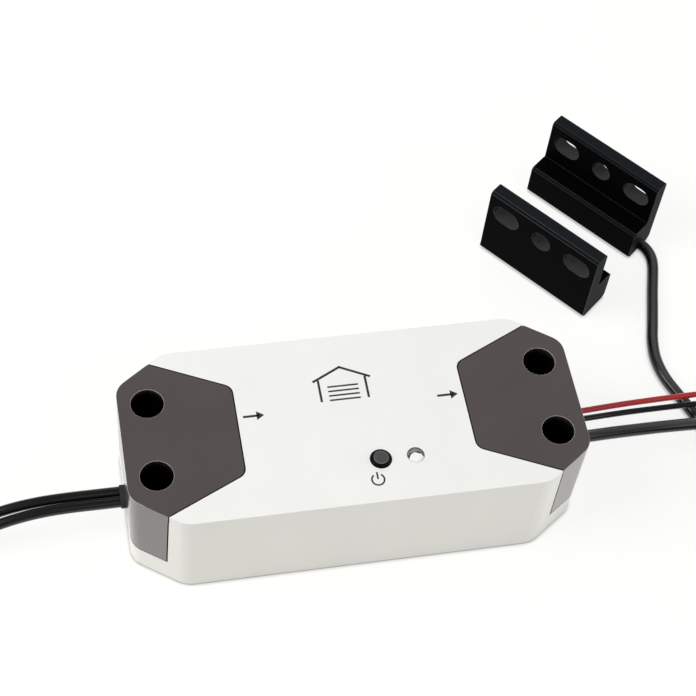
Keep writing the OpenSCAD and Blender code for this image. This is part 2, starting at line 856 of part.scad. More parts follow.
// A terminal at the output end of the board: its ways, its block and the radius of its openings
module terminal(places, way, block_d, block_h, opening_r) {
    span = len(places) * way;
    middle = mid(places[0], places[len(places) - 1]);
    difference() {
        on_board([block_d, span, block_h], [board_x - block_d / 2, middle]);
        for (y = places) {
            translate([board_x - opening_d, y, opening_z])
                rotate([0, 90, 0])
                    cylinder(r = opening_r, h = opening_d + over);
            translate([board_x - block_d / 2, y, board_top + block_h - terminal_well])
                cylinder(r = way * terminal_well_share / 2, h = terminal_well + over);
        }
    }
}

module terminal_screws(places, way, block_d, block_h) {
    seat = board_top + block_h - terminal_well;
    for (y = places)
        translate([board_x - block_d / 2, y, 0])
            difference() {
                translate([0, 0, seat])
                    cylinder(r = way * terminal_well_share / 2 - terminal_gap, h = terminal_screw_h);
                driver_cut(seat + terminal_screw_h, way, 1);
            }
}

mains_places = way_places(mains_y, mains_way, 2);
tail_places = way_places(tail_block_y, tail_way, 4);

module input_terminal() {
    color("#3f8f5b")
        mirror([1, 0, 0])
            terminal(mains_places, mains_way, mains_block_d, mains_block_h, mains_opening_r);
}

module output_terminal() {
    color("#3f8f5b")
        terminal(tail_places, tail_way, tail_block_d, tail_block_h, tail_opening_r);
}

module input_terminal_screws() {
    color("#c9ccd0")
        mirror([1, 0, 0])
            terminal_screws(mains_places, mains_way, mains_block_d, mains_block_h);
}

module output_terminal_screws() {
    color("#c9ccd0") terminal_screws(tail_places, tail_way, tail_block_d, tail_block_h);
}

// Fuse lying on the board, with a cap at each end
module fuse() {
    cap_l = fuse_l / 5;
    color("#c8b48a")
        translate([fuse_at[0], fuse_at[1], board_top + fuse_r + fuse_cap])
            rotate([0, 90, 0]) {
                cylinder(r = fuse_r, h = fuse_l, center = true);
                for (i = [-1, 1])
                    translate([0, 0, i * (fuse_l - cap_l) / 2])
                        cylinder(r = fuse_r + fuse_cap, h = cap_l, center = true);
            }
}

// Varistor: a disc that stands on its edge on two legs
module varistor() {
    color("#2f62a8") {
        translate([varistor_at[0], varistor_at[1], board_top + varistor_r + varistor_leg])
            rotate([0, 90, 0])
                cylinder(r = varistor_r, h = varistor_t, center = true);
        for (j = [-1, 1])
            translate([varistor_at[0], varistor_at[1] + j * varistor_r / 2, board_top])
                cylinder(r = varistor_leg, h = varistor_r);
    }
}

module mains_filter_capacitor() {
    color("#d8b23c") on_board(filter_size, filter_at);
}

module bridge_rectifier() {
    color("#262628") on_board(bridge_size, bridge_at);
}

module converter_chip() {
    color("#262628") on_board(chip_size, chip_at);
}

// Round capacitor with the rolled neck near its foot
module can_capacitor(r, h, at) {
    translate([at[0], at[1], board_top])
        difference() {
            cylinder(r = r, h = h);
            translate([0, 0, neck_z])
                difference() {
                    cylinder(r = r + over, h = neck_z);
                    translate([0, 0, -over])
                        cylinder(r = r - neck_d, h = neck_z + 2 * over);
                }
        }
}

module bulk_capacitor() {
    color("#2a3350") can_capacitor(bulk_r, bulk_h, bulk_at);
}

module output_capacitor() {
    color("#2a3350") can_capacitor(smooth_r, smooth_h, smooth_at);
}

// Window in the transformer's core, one each side of its middle leg
window_w = (core_size[0] - 2 * core_leg - core_mid) / 2;
window_h = core_size[2] - 2 * core_leg;

module transformer_core() {
    color("#3b3d42")
        difference() {
            on_board(core_size, core_at);
            for (i = [-1, 1])
                translate([
                    core_at[0] + i * (core_mid + window_w) / 2,
                    core_at[1],
                    board_top + core_size[2] / 2
                ])
                    cube([window_w, core_size[1] + 2 * over, window_h], center = true);
        }
}

module transformer_winding() {
    outer = [
        core_mid + 2 * window_w - 2 * winding_gap,
        core_size[1] + 2 * winding_out,
        window_h - 2 * winding_gap
    ];
    inner = [core_mid + 2 * winding_gap, core_size[1] + 2 * winding_gap, core_size[2]];
    color("#caa24a")
        translate([core_at[0], core_at[1], board_top + core_size[2] / 2])
            difference() {
                cube(outer, center = true);
                cube(inner, center = true);
            }
}

// Heights inside the relay
relay_h = roof_z - board_top - relay_over;
relay_coil_r = relay_l * coil_r_share;
relay_coil_h = relay_h - relay_head;
relay_floor = board_top + relay_base_t;
relay_x = relay_at[0] - relay_l / 2;
relay_y = relay_at[1] - relay_w / 2;
coil_x = relay_x + relay_l * coil_in_share;
iron_y = relay_at[1];
armature_x = relay_x + relay_yoke_in;
armature_l = relay_l - relay_yoke_in - armature_room;
armature_z = relay_floor + relay_coil_h + relay_core_up + armature_gap;
contact_x = armature_x + armature_l - contact_in;

module relay_base() {
    color("#20304f") on_board([relay_l, relay_w, relay_base_t], relay_at);
}

module relay_case() {
    case_h = relay_h - relay_base_t;
    color("#2456a5")
        translate([relay_x, relay_y, relay_floor])
            difference() {
                cube([relay_l, relay_w, case_h]);
                translate([relay_wall, relay_wall, -over])
                    cube([
                        relay_l - 2 * relay_wall,
                        relay_w - 2 * relay_wall,
                        case_h - relay_wall + over
                    ]);
            }
}

// Bobbin with its winding and the iron core through it
module relay_coil() {
    color("#b5622e")
        translate([coil_x, iron_y, relay_floor]) {
            cylinder(r = relay_coil_r, h = relay_coil_h);
            cylinder(r = relay_core_r, h = relay_coil_h + relay_core_up);
        }
}

// The armature's pivot on top of the yoke, grown by gap
module pivot(gap) {
    translate([armature_x + relay_yoke_t / 2, iron_y, armature_z])
        rotate([90, 0, 0])
            cylinder(r = pivot_r + gap, h = relay_iron_w + 2 * gap, center = true);
}

module relay_yoke() {
    color("#b9bcc2")
        difference() {
            translate([armature_x, iron_y - relay_iron_w / 2, relay_floor])
                cube([relay_yoke_t, relay_iron_w, armature_z - armature_play - relay_floor]);
            pivot(armature_play);
        }
}

// Armature with its pivot, and the contact button under its free end
module relay_armature() {
    color("#c9ccd0") {
        pivot(0);
        translate([armature_x, iron_y - relay_iron_w / 2, armature_z])
            cube([armature_l, relay_iron_w, armature_t]);
        translate([contact_x, iron_y, armature_z - contact_t])
            cylinder(r = contact_r, h = contact_t + over);
    }
}

// Fixed contacts: the one that the armature closes on, and the one that it leaves
module relay_contacts() {
    lower_z = armature_z - contact_t - contact_gap;
    upper_z = armature_z + armature_t + armature_play;
    post_x = armature_x + armature_l + contact_post_t;
    arm_x = contact_x - contact_r;
    arm_z = upper_z + contact_t;
    color("#c58a3a") {
        translate([contact_x - contact_post_t / 2, iron_y - contact_post_w / 2, relay_floor])
            cube([contact_post_t, contact_post_w, lower_z - contact_t - relay_floor]);
        translate([contact_x, iron_y, lower_z - 2 * contact_t])
            cylinder(r = contact_r, h = 2 * contact_t);
        translate([post_x, iron_y - contact_post_w / 2, relay_floor])
            cube([contact_post_t, contact_post_w, arm_z + contact_post_t - relay_floor]);
        translate([arm_x, iron_y - contact_post_w / 2, arm_z])
            cube([post_x + contact_post_t - arm_x, contact_post_w, contact_post_t]);
        translate([contact_x, iron_y, upper_z])
            cylinder(r = contact_r, h = 2 * contact_t);
    }
}

module radio_board() {
    color("#1c3f66") on_board(radio_size, radio_at);
}

module radio_shield() {
    radio_x = radio_at[0] - radio_size[0] / 2;
    color("#c2c5c9")
        translate([radio_x + shield_in, radio_at[1] - shield_size[1] / 2, board_top + radio_size[2]])
            cube(shield_size);
}

// Heights of the push button and its switch
plunger_z = board_top + tact_floor + plunger_space + button_travel;
cap_top = body_h + button_proud;
collar_top = roof_z - guide_l - collar_gap;
collar_z = collar_top - collar_t;
plunger_top = collar_z + socket_l;

module tact_switch() {
    color("#2c2c2e")
        difference() {
            on_board(tact_size, [button_x, button_y]);
            translate([button_x, button_y, board_top + tact_floor])
                cylinder(r = plunger_r + button_gap, h = tact_size[2]);
        }
}

module switch_plunger() {
    color("#3a3a3a")
        translate([button_x, button_y, plunger_z])
            cylinder(r = plunger_r, h = plunger_top - plunger_z);
}

// Button pressed on the plunger: a collar, the sliding barrel and a cone to its flat top
module button_cap() {
    barrel_r = button_hole_r - button_gap;
    color("#3a3a3b")
        translate([button_x, button_y, 0])
            difference() {
                union() {
                    translate([0, 0, collar_z])
                        cylinder(r = button_hole_r + collar_w, h = collar_t);
                    translate([0, 0, collar_z])
                        cylinder(r = barrel_r, h = cap_top - button_cone - collar_z);
                    translate([0, 0, cap_top - button_cone])
                        cylinder(r1 = barrel_r, r2 = button_top_r, h = button_cone);
                }
                translate([0, 0, collar_z - over])
                    cylinder(r = plunger_r + socket_gap, h = plunger_top - collar_z + over);
            }
}

module status_led() {
    color("#f4f4ee") on_board(led_size, [light_x, light_y]);
}

// Clear rod from the light's chip to the housing's top, hung by its collar
module light_pipe() {
    crown_r = (light_r * light_r + light_crown * light_crown) / (2 * light_crown);
    rod_z = board_top + led_size[2] + light_above;
    color("#e6eef2")
        translate([light_x, light_y, 0]) {
            intersection() {
                translate([0, 0, rod_z]) cylinder(r = light_r, h = body_h + light_crown - rod_z);
                union() {
                    translate([0, 0, body_h + light_crown - crown_r]) sphere(r = crown_r, $fn = 96);
                    translate([0, 0, rod_z]) cylinder(r = light_r + over, h = body_h - top_t - rod_z);
                }
            }
            translate([0, 0, roof_z - light_collar_t])
                cylinder(r = light_r + light_collar_w, h = light_collar_t);
        }
}

// The door contact pair stands in its own turned frame, with the reed half at its origin
module in_pair() {
    translate([reed_x, reed_y, 0])
        rotate([0, 0, pair_turn]) children();
}

module at_magnet() {
    translate([pair_shift, -contact_d - pair_gap, 0]) children();
}

reed_room = reed_l + 2 * (reed_pin_l + reed_end);
room_w = contact_d - 2 * contact_wall;
room_top = contact_block_h - contact_roof;
fixing_z = contact_h - fixing_down;

// L-shaped half with its fixing holes, block towards -Y
module contact_half() {
    back = contact_d / 2;
    front = -contact_d / 2;
    step = back - contact_flange;
    foot = contact_foot_bevel;
    edge = contact_bevel;
    difference() {
        rotate([90, 0, 90])
            linear_extrude(contact_l, center = true)
                polygon([
                    [front + foot, 0], [back - foot, 0], [back, foot], [back, contact_h - edge],
                    [back - edge, contact_h], [step + edge, contact_h], [step, contact_h - edge],
                    [step, contact_block_h], [front + edge, contact_block_h],
                    [front, contact_block_h - edge], [front, foot]
                ]);
        for (i = [-1:1])
            translate([i * fixing_pitch, back - contact_flange / 2, fixing_z])
                rotate([90, 0, 0]) {
                    slot = abs(i) * fixing_slot;
                    for (j = i == 0 ? [0] : [-1, 1])
                        translate([j * slot / 2, 0, 0])
                            cylinder(r = fixing_r, h = contact_flange + 2 * over, center = true);
                    if (i != 0)
                        cube([slot, 2 * fixing_r, contact_flange + 2 * over], center = true);
                }
    }
}

// Hollow under a half's block, open below
module contact_room(length) {
    translate([-length / 2, -room_w / 2, -over]) cube([length, room_w, room_top + over]);
}

module reed_housing() {
    color("#1c2021")
        in_pair()
            difference() {
                contact_half();
                contact_room(reed_room);
                translate([reed_room / 2 - over, 0, lead_exit_z])
                    rotate([0, 90, 0])
                        cylinder(r = lead_r + grommet_gap, h = contact_l);
            }
}

module reed_capsule() {
    color("#8fb39a")
        in_pair()
            translate([0, 0, reed_z])
                rotate([0, 90, 0]) {
                    cylinder(r = reed_r, h = reed_l, center = true);
                    cylinder(r = reed_pin_r, h = reed_l + 2 * reed_pin_l, center = true);
                }
}

// Resin that holds the reed in its half
module reed_filling() {
    color("#17191a")
        in_pair()
            difference() {
                translate([-reed_room / 2, -room_w / 2, filling_sunk])
                    cube([reed_room, room_w, room_top - filling_sunk]);
                translate([0, 0, reed_z])
                    rotate([0, 90, 0])
                        cylinder(r = reed_r + reed_gap, h = reed_room + 2 * over, center = true);
            }
}

// The magnet half faces the reed half, so its shape is turned round
module magnet_housing() {
    color("#1c2021")
        in_pair()
            at_magnet()
                difference() {
                    rotate([0, 0, 180]) contact_half();
                    contact_room(magnet_l + 2 * magnet_gap);
                }
}

module bar_magnet() {
    color("#8d9094")
        in_pair()
            at_magnet()
                translate([-magnet_l / 2, -room_w / 2 + magnet_gap, room_top - magnet_h])
                    cube([magnet_l, room_w - 2 * magnet_gap, magnet_h]);
}

module magnet_filling() {
    length = magnet_l + 2 * magnet_gap;
    color("#17191a")
        in_pair()
            at_magnet()
                translate([-length / 2, -room_w / 2, filling_sunk])
                    cube([length, room_w, room_top - magnet_h - filling_sunk]);
}

// Routes of the wires and of the lead, from the terminals outwards
mains_front_route = [
    [-36, -5.3, 10.8], [-39, -5.3, 10.8], [-42.5, -4.7, 9.9], [-46.5, -4.1, 9.5], [-50, -4.1, 9.5],
    [-56, -4.1, 9.5], [-62, -4.1, 9.5], [-68, -4.3, 9.3], [-74, -4.8, 8.6], [-80, -5.6, 7.3],
    [-86, -6.6, 5.5], [-92, -7.4, 3.5], [-98, -8, 1.9], [-104, -8.3, 1.3],
    [-109.6, -9.8, 1.3], [-113.6, -13.8, 1.3],
    [-115, -18.4, 1.3], [-113.6, -23, 1.3], [-109.6, -27, 1.3], [-104, -28.5, 1.3], [-98, -28.6, 1.3],
    [-92, -28.6, 1.3]
];
mains_rear_route = [
    [-36, -0.3, 10.8], [-39, -0.3, 10.8], [-42.5, -0.9, 9.9], [-46.5, -1.5, 9.5], [-50, -1.5, 9.5],
    [-56, -1.5, 9.5], [-62, -1.5, 9.5], [-68, -1.6, 9.3], [-74, -1.9, 8.6], [-80, -2.5, 7.3],
    [-86, -3.3, 5.5], [-92, -4.1, 3.5], [-98, -4.6, 1.9], [-104, -4.9, 1.3],
    [-111.4, -6.8, 1.3], [-116.6, -12, 1.3],
    [-118.4, -18.4, 1.3], [-116.6, -24.8, 1.3], [-111.4, -30, 1.3], [-104, -31.9, 1.3], [-98, -32, 1.3],
    [-92, -32, 1.3]
];
tail_black_route = [
    [36.5, 3.3, 10.8], [39, 3.3, 10.8], [42.5, 3.3, 9.9], [46.5, 3.3, 9.5], [50, 3.3, 9.5],
    [56, 3.7, 9.3], [62, 4.2, 8.9], [68, 4.8, 8.2], [74, 5.4, 7.3], [80, 6, 6.3], [86, 6.5, 5.4],
    [92, 6.9, 4], [98, 7.1, 2.2], [104, 7.2, 0.9], [110, 7.3, 0.8], [115.5, 9.5, 0.8],
    [118, 14.8, 0.8], [115.5, 20.1, 0.8], [110, 22.3, 0.8], [104, 22.4, 0.8]
];
tail_red_route = [
    [36.5, 6.7, 10.8], [39, 6.7, 10.8], [41, 5.8, 10.3], [43.5, 5.3, 9.8], [46.5, 5.3, 9.5], [50, 5.3, 9.5],
    [56, 5.8, 9.3], [62, 6.4, 8.9], [68, 7.1, 8.2], [74, 7.8, 7.3], [80, 8.5, 6.3],
    [86, 9.1, 5.4], [92, 9.6, 4], [98, 9.8, 2.2], [104, 9.9, 0.9], [110, 10, 0.8],
    [113.8, 11.4, 0.8], [115.4, 14.8, 0.8], [113.8, 18.2, 0.8], [110, 19.6, 0.8], [104, 19.8, 0.8]
];
lead_jacket_x = 41.5;
lead_jacket_z = 9.7;
coil_at = [112, -26];
lead_route = [
    [lead_jacket_x, -1.3, lead_jacket_z], [46.5, -1.3, 9.5], [50, -1.3, 9.5], [56, -1, 9.3], [62, -0.5, 8.7],
    [68, 0, 7.9], [74, 0.4, 7.2], [80, 0.5, 6.8], [86, 0.2, 7], [92, -0.6, 8.4], [98, -1.5, 10.8]
];
lead_far_route = [
    [87.1, 54.9, 1.8], [87.6, 52.4, 1.7], [87.3, 49.8, 1.6], [86.6, 47.1, 1.5], [85.2, 42.4, 1.5],
    [83.9, 37.7, 1.5], [82.5, 32.7, 1.5], [81.1, 27.6, 1.5], [80.5, 22.4, 1.5], [81.3, 16.9, 1.5],
    [83.4, 11.2, 1.5], [85.6, 5.4, 1.5], [87.2, -0.4, 1.5], [88, -6, 1.7], [88, -12, 2.2]
];

// Points between a route's own, on a smooth curve through them
function between(a, b, c, d, t) =
    0.5 * (2 * b + (c - a) * t + (2 * a - 5 * b + 4 * c - d) * t * t
        + (3 * b - a - 3 * c + d) * t * t * t);
function smooth_route(p, steps) =
    let (n = len(p) - 1)
    [
        for (i = [0:n - 1], j = [0:steps - 1])
            between(
                i == 0 ? 2 * p[0] - p[1] : p[i - 1], p[i], p[i + 1],
                i == n - 1 ? 2 * p[n] - p[n - 1] : p[i + 2], j / steps
            ),
        p[n]
    ];

// Length of a route
function route_length(p, i = 1) =
    i >= len(p) ? 0 : norm(p[i] - p[i - 1]) + route_length(p, i + 1);

// Direction of a route at one of its points
function heading(p, i) =
    let (n = len(p) - 1)
    unit(p[min(i + 1, n)] - p[max(i - 1, 0)]);

// A tube along points: rings of triangles with a fan at each end
module tube(p, r, sides) {
    n = len(p);
    rings = [
        for (i = [0:n - 1])
            let (t = heading(p, i))
            let (side = unit(cross(t, [0, 0, 1])))
            let (rise = cross(side, t))
            for (k = [0:sides - 1])
                p[i] + r * (cos(360 * k / sides) * side + sin(360 * k / sides) * rise)
    ];
    walls = [
        for (i = [0:n - 2], k = [0:sides - 1])
            let (a = i * sides + k, b = i * sides + (k + 1) % sides)
            each [[a, b, b + sides], [a, b + sides, a + sides]]
    ];
    last = (n - 1) * sides;
    ends = [
        for (k = [1:sides - 2])
            each [[0, k + 1, k], [last, last + k, last + k + 1]]
    ];
    polyhedron(rings, concat(walls, ends), convexity = 8);
}

tube_sides = 8;

module input_wire_front() {
    color("#17181a") tube(smooth_route(mains_front_route, 1), mains_r, tube_sides);
}

module input_wire_rear() {
    color("#17181a") tube(smooth_route(mains_rear_route, 1), mains_r, tube_sides);
}

module output_wire_red() {
    color("#b3282c") tube(smooth_route(tail_red_route, 2), tail_r, tube_sides);
}

module output_wire_black() {
    color("#17181a") tube(smooth_route(tail_black_route, 2), tail_r, tube_sides);
}

// Bared core that runs on from a route's end
module bared_end(route, r, length) {
    n = len(route) - 1;
    along = unit(route[n] - route[n - 1]);
    translate(route[n])
        rotate([0, acos(along[2]), atan2(along[1], along[0])])
            cylinder(r = r, h = length);
}

module input_wire_ends() {
    color("#c9a86a")
        for (route = [mains_front_route, mains_rear_route])
            bared_end(route, mains_bare_r, mains_bare_l);
}

module output_wire_ends() {
    color("#c9a86a")
        for (route = [tail_red_route, tail_black_route])
            bared_end(route, tail_bare_r, tail_bare_l);
}

// Coil of the lead: four layers that spiral in and out, one diameter and a gap apart
coil_layers = 4;
coil_steps = 24;
coil_sides = 6;
coil_pitch = lead_d + coil_gap;
coil_turn = 360 * coil_turns;
layer_turn = coil_turn / coil_layers;
layer_run = coil_pitch * layer_turn / 360;
coil_in = coil_mid_d / 2 - layer_run / 2;
coil_out = coil_mid_d / 2 + layer_run / 2;
coil_z = tie_t + 2 * tie_gap + lead_r;
coil_start = 180;

function coil_radius(a) =
    let (layer = a / layer_turn)
    let (along = layer - 2 * floor(layer / 2))
    coil_in + layer_run * abs(1 - along);
function coil_height(a) =
    coil_z + coil_pitch * (
        ease(clamp01((a - layer_turn + 90) / 180))
        + ease(clamp01((a - 2 * layer_turn + 90) / 180))
        + ease(clamp01((a - 3 * layer_turn + 90) / 180))
    );
function coil_point(a) =
    let (r = coil_radius(a), turn = coil_start + a)
    [coil_at[0] + r * cos(turn), coil_at[1] + r * sin(turn), coil_height(a)];

coil_count = floor(coil_turn * coil_steps / 360);
coil_loops = [for (i = [0:coil_count]) coil_point(i * coil_turn / coil_count)];
coil_first = [coil_at[0] - coil_out, coil_at[1] + lead_d, coil_z];
coil_last = [coil_at[0] - lead_d, coil_at[1] + coil_out, coil_height(coil_turn)];
coil_entry = 2 * lead_d;
lead_path = concat(lead_route, [coil_last - [coil_entry, 0, 0], coil_last]);
coil_route = concat([coil_first], coil_loops, [coil_last]);

// Least gap of the coil to itself, over all pairs of points more than half a turn apart
coil_self_gap = min([
    for (i = [0:len(coil_route) - 1])
        for (j = [i + coil_steps / 2:1:len(coil_route) - 1])
            norm(coil_route[i] - coil_route[j])
]) - lead_d;
echo(coil_self_gap = coil_self_gap);
module sensor_lead_coil() {
    color("#1b1c1e") tube(coil_route, lead_r, coil_sides);
}

module sensor_lead() {
    color("#1b1c1e") tube(lead_path, lead_r, tube_sides);
}

// Far stretch of the lead, from inside the reed half to the coil
lead_exit_dir = [cos(pair_turn), sin(pair_turn), 0];
lead_root = [reed_x, reed_y, lead_exit_z] + lead_exit_dir * reed_room / 2;
lead_exit = [reed_x, reed_y, lead_exit_z] + lead_exit_dir * contact_l / 2;
lead_far_path = concat(
    [lead_root, lead_exit], lead_far_route, [coil_first + [0, coil_entry, 0], coil_first]
);
echo(lead_length = route_length(lead_path) + route_length(coil_route) + route_length(lead_far_path));

module sensor_lead_far() {
    color("#1b1c1e")
        tube(lead_far_path, lead_r, tube_sides);
}

// The lead's two cores, from the end of its jacket to the output terminal
module sensor_lead_cores() {
    color("#d9d6cf")
        for (j = [0, 1])
            let (y = lead_y + (2 * j - 1) * (lead_core_r + grommet_gap))
            tube(
                [
                    [lead_jacket_x, y, lead_jacket_z],
                    [lead_jacket_x - 2 * lead_core_r, y, lead_jacket_z],
                    [board_x + 2 * lead_core_r, tail_places[j], opening_z],
                    [board_x - 2 * lead_core_r, tail_places[j], opening_z]
                ],
                lead_core_r, tube_sides
            );
}

// Band round the coil's loops, with its lock
module lead_tie() {
    inner = [coil_in - lead_r - tie_gap, coil_out + lead_r + tie_gap];
    top = coil_z + (coil_layers - 1) * coil_pitch + lead_r + tie_gap;
    bottom = tie_t + tie_gap;
    color("#202123")
        translate([coil_at[0], coil_at[1], 0])
            rotate([0, 0, tie_turn]) {
                difference() {
                    translate([inner[0] - tie_t, -tie_w / 2, bottom - tie_t])
                        cube([inner[1] - inner[0] + 2 * tie_t, tie_w, top - bottom + 2 * tie_t]);
                    translate([inner[0], -tie_w, bottom])
                        cube([inner[1] - inner[0], 2 * tie_w, top - bottom]);
                }
                translate([mid(inner[0], inner[1]) - tie_w / 2, -tie_w / 2 - tie_t, top])
                    cube([tie_w, tie_w + 2 * tie_t, 2.5 * tie_t]);
            }
}

upper_housing();
base_plate();
base_screws();
input_cover();
output_cover();
input_cover_screws();
output_cover_screws();
input_grommet();
output_grommet();
circuit_board();
board_screws();
input_terminal();
output_terminal();
input_terminal_screws();
output_terminal_screws();
fuse();
varistor();
mains_filter_capacitor();
bridge_rectifier();
bulk_capacitor();
output_capacitor();
converter_chip();
transformer_core();
transformer_winding();
relay_base();
relay_case();
relay_coil();
relay_yoke();
relay_armature();
relay_contacts();
radio_board();
radio_shield();
tact_switch();
switch_plunger();
button_cap();
status_led();
light_pipe();
reed_housing();
reed_capsule();
reed_filling();
magnet_housing();
bar_magnet();
magnet_filling();
input_wire_front();
input_wire_rear();
input_wire_ends();
output_wire_red();
output_wire_black();
output_wire_ends();
sensor_lead();
sensor_lead_coil();
sensor_lead_far();
sensor_lead_cores();
lead_tie();
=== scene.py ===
"""Looks of a garage door controller and its door contact pair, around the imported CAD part."""
import math

import bmesh
import bpy
from mathutils import Matrix, Vector


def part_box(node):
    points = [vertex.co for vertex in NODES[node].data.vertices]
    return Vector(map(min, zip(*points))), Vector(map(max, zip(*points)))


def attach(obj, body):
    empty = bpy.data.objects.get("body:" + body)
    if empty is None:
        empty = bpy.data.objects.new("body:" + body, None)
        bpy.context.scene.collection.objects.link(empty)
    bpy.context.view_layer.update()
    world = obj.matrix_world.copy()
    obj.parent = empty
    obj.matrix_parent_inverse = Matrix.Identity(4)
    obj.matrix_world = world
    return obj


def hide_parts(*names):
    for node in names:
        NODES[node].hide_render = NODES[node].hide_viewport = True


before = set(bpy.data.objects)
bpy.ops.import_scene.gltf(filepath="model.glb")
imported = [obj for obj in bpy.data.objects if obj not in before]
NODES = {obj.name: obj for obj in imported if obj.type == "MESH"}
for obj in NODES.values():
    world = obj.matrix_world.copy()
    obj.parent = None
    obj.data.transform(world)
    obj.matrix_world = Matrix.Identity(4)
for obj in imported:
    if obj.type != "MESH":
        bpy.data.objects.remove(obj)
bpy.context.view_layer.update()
MM = 0.001
UNIT = "controller"
END_X, _, TOP_Z = (round(value / MM, 3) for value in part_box("upper_housing")[1])


# Camera

CAMERA_AT = Vector((-60.72, -196.73, 352.45)) * MM
CAMERA_AZIMUTH = math.radians(-16.265)
CAMERA_ELEVATION = math.radians(55.473)
CAMERA_ROLL = math.radians(7.525)
CAMERA_LENS_MM = 92.12
CAMERA_SENSOR_MM = 36


def make_camera():
    """The photograph's viewpoint: above the unit and a little to its left, with a slight roll."""
    azimuth, elevation = CAMERA_AZIMUTH, CAMERA_ELEVATION
    back = Vector((
        math.sin(azimuth) * math.cos(elevation),
        -math.cos(azimuth) * math.cos(elevation),
        math.sin(elevation),
    ))
    level_right = Vector((math.cos(azimuth), math.sin(azimuth), 0))
    level_up = back.cross(level_right)
    right = level_right * math.cos(CAMERA_ROLL) + level_up * math.sin(CAMERA_ROLL)
    up = back.cross(right)
    data = bpy.data.cameras.new("camera")
    data.lens = CAMERA_LENS_MM
    data.sensor_width = CAMERA_SENSOR_MM
    camera = bpy.data.objects.new("camera", data)
    turn = Matrix((right, up, back)).transposed().to_4x4()
    camera.matrix_world = Matrix.Translation(CAMERA_AT) @ turn
    bpy.context.scene.collection.objects.link(camera)
    bpy.context.scene.camera = camera


# Node trees

def linear(hex_colour):
    """An sRGB hex colour as linear RGBA."""
    parts = [int(hex_colour[i:i + 2], 16) / 255 for i in (1, 3, 5)]
    return [c / 12.92 if c <= 0.04045 else ((c + 0.055) / 1.055) ** 2.4 for c in parts] + [1]


def add(tree, kind, inputs=None, stops=(), **settings):
    """Adds a node: its settings, a ramp's stops, and inputs that are values or nodes' sockets."""
    node = tree.nodes.new(kind)
    for name, value in settings.items():
        setattr(node, name, value)
    for key, value in (inputs or {}).items():
        if isinstance(value, bpy.types.NodeSocket):
            tree.links.new(value, node.inputs[key])
        else:
            node.inputs[key].default_value = value
    for i, (position, colour) in enumerate(stops):
        elements = node.color_ramp.elements
        element = elements[i] if i < len(elements) else elements.new(position)
        element.position = position
        element.color = linear(colour)
    return node


def new_finish(name):
    """A material with a shader that reads Object coordinates."""
    material = bpy.data.materials.new(name)
    material.use_nodes = True
    tree = material.node_tree
    tree.nodes.clear()
    shader = add(tree, "ShaderNodeBsdfPrincipled")
    add(tree, "ShaderNodeOutputMaterial", {"Surface": shader.outputs[0]})
    place = add(tree, "ShaderNodeTexCoord").outputs["Object"]
    return material, tree, shader, place


def mould_grain(tree, shader, place, grain_mm, depth_mm):
    """Mould grain, drawn coarser than the real one so that it shows. Returns its pattern."""
    grain = add(tree, "ShaderNodeTexNoise", {
        "Vector": place, "Scale": 1 / (grain_mm * MM), "Detail": 2,
    })
    bump = add(tree, "ShaderNodeBump", {
        "Height": grain.outputs["Fac"], "Distance": depth_mm * MM, "Strength": 1,
    })
    tree.links.new(bump.outputs["Normal"], shader.inputs["Normal"])
    return grain.outputs["Fac"]


# Finishes that several materials share

DRIFT_MM = 14
MOULD_GLOSS_SPREAD = 0.04
METAL_GLOSS_SPREAD = 0.08
CREVICE_LIGHT = 0.02
USUAL_SHINE = 0.5
AO_SAMPLES = 8


def moulded(name, colour, shade, roughness, grain_mm, grain_depth_mm, ior=1.5, painted_shade_mm=0,
            crevice=(0.35, 0.85)):
    """Moulded plastic or rubber: a tone that drifts, mould grain, and painted shade if asked."""
    material, tree, shader, place = new_finish(name)
    drift = add(tree, "ShaderNodeTexNoise", {
        "Vector": place, "Scale": 1 / (DRIFT_MM * MM), "Detail": 3,
    })
    tone = add(tree, "ShaderNodeValToRGB", {"Fac": drift.outputs["Fac"]},
               stops=[(0.3, shade), (0.7, colour)])
    gloss = add(tree, "ShaderNodeMapRange", {
        "Value": mould_grain(tree, shader, place, grain_mm, grain_depth_mm),
        "To Min": roughness - MOULD_GLOSS_SPREAD, "To Max": roughness + MOULD_GLOSS_SPREAD,
    })
    shown = tone.outputs["Color"]
    # Painted shade: ambient occlusion darkens colour and shine in crevices, seams and wells.
    if painted_shade_mm:
        open_sky = add(tree, "ShaderNodeAmbientOcclusion", {
            "Distance": painted_shade_mm * MM,
        }, samples=AO_SAMPLES)
        lit = add(tree, "ShaderNodeMapRange", {
            "Value": open_sky.outputs["AO"], "From Min": crevice[0], "From Max": crevice[1],
            "To Min": CREVICE_LIGHT,
        })
        shown = add(tree, "ShaderNodeVectorMath", {
            0: shown, 1: lit.outputs["Result"],
        }, operation="MULTIPLY").outputs["Vector"]
        shine = add(tree, "ShaderNodeMath", {
            0: lit.outputs["Result"], 1: USUAL_SHINE,
        }, operation="MULTIPLY")
        tree.links.new(shine.outputs[0], shader.inputs["Specular IOR Level"])
    tree.links.new(shown, shader.inputs["Base Color"])
    tree.links.new(gloss.outputs["Result"], shader.inputs["Roughness"])
    shader.inputs["IOR"].default_value = ior
    return material


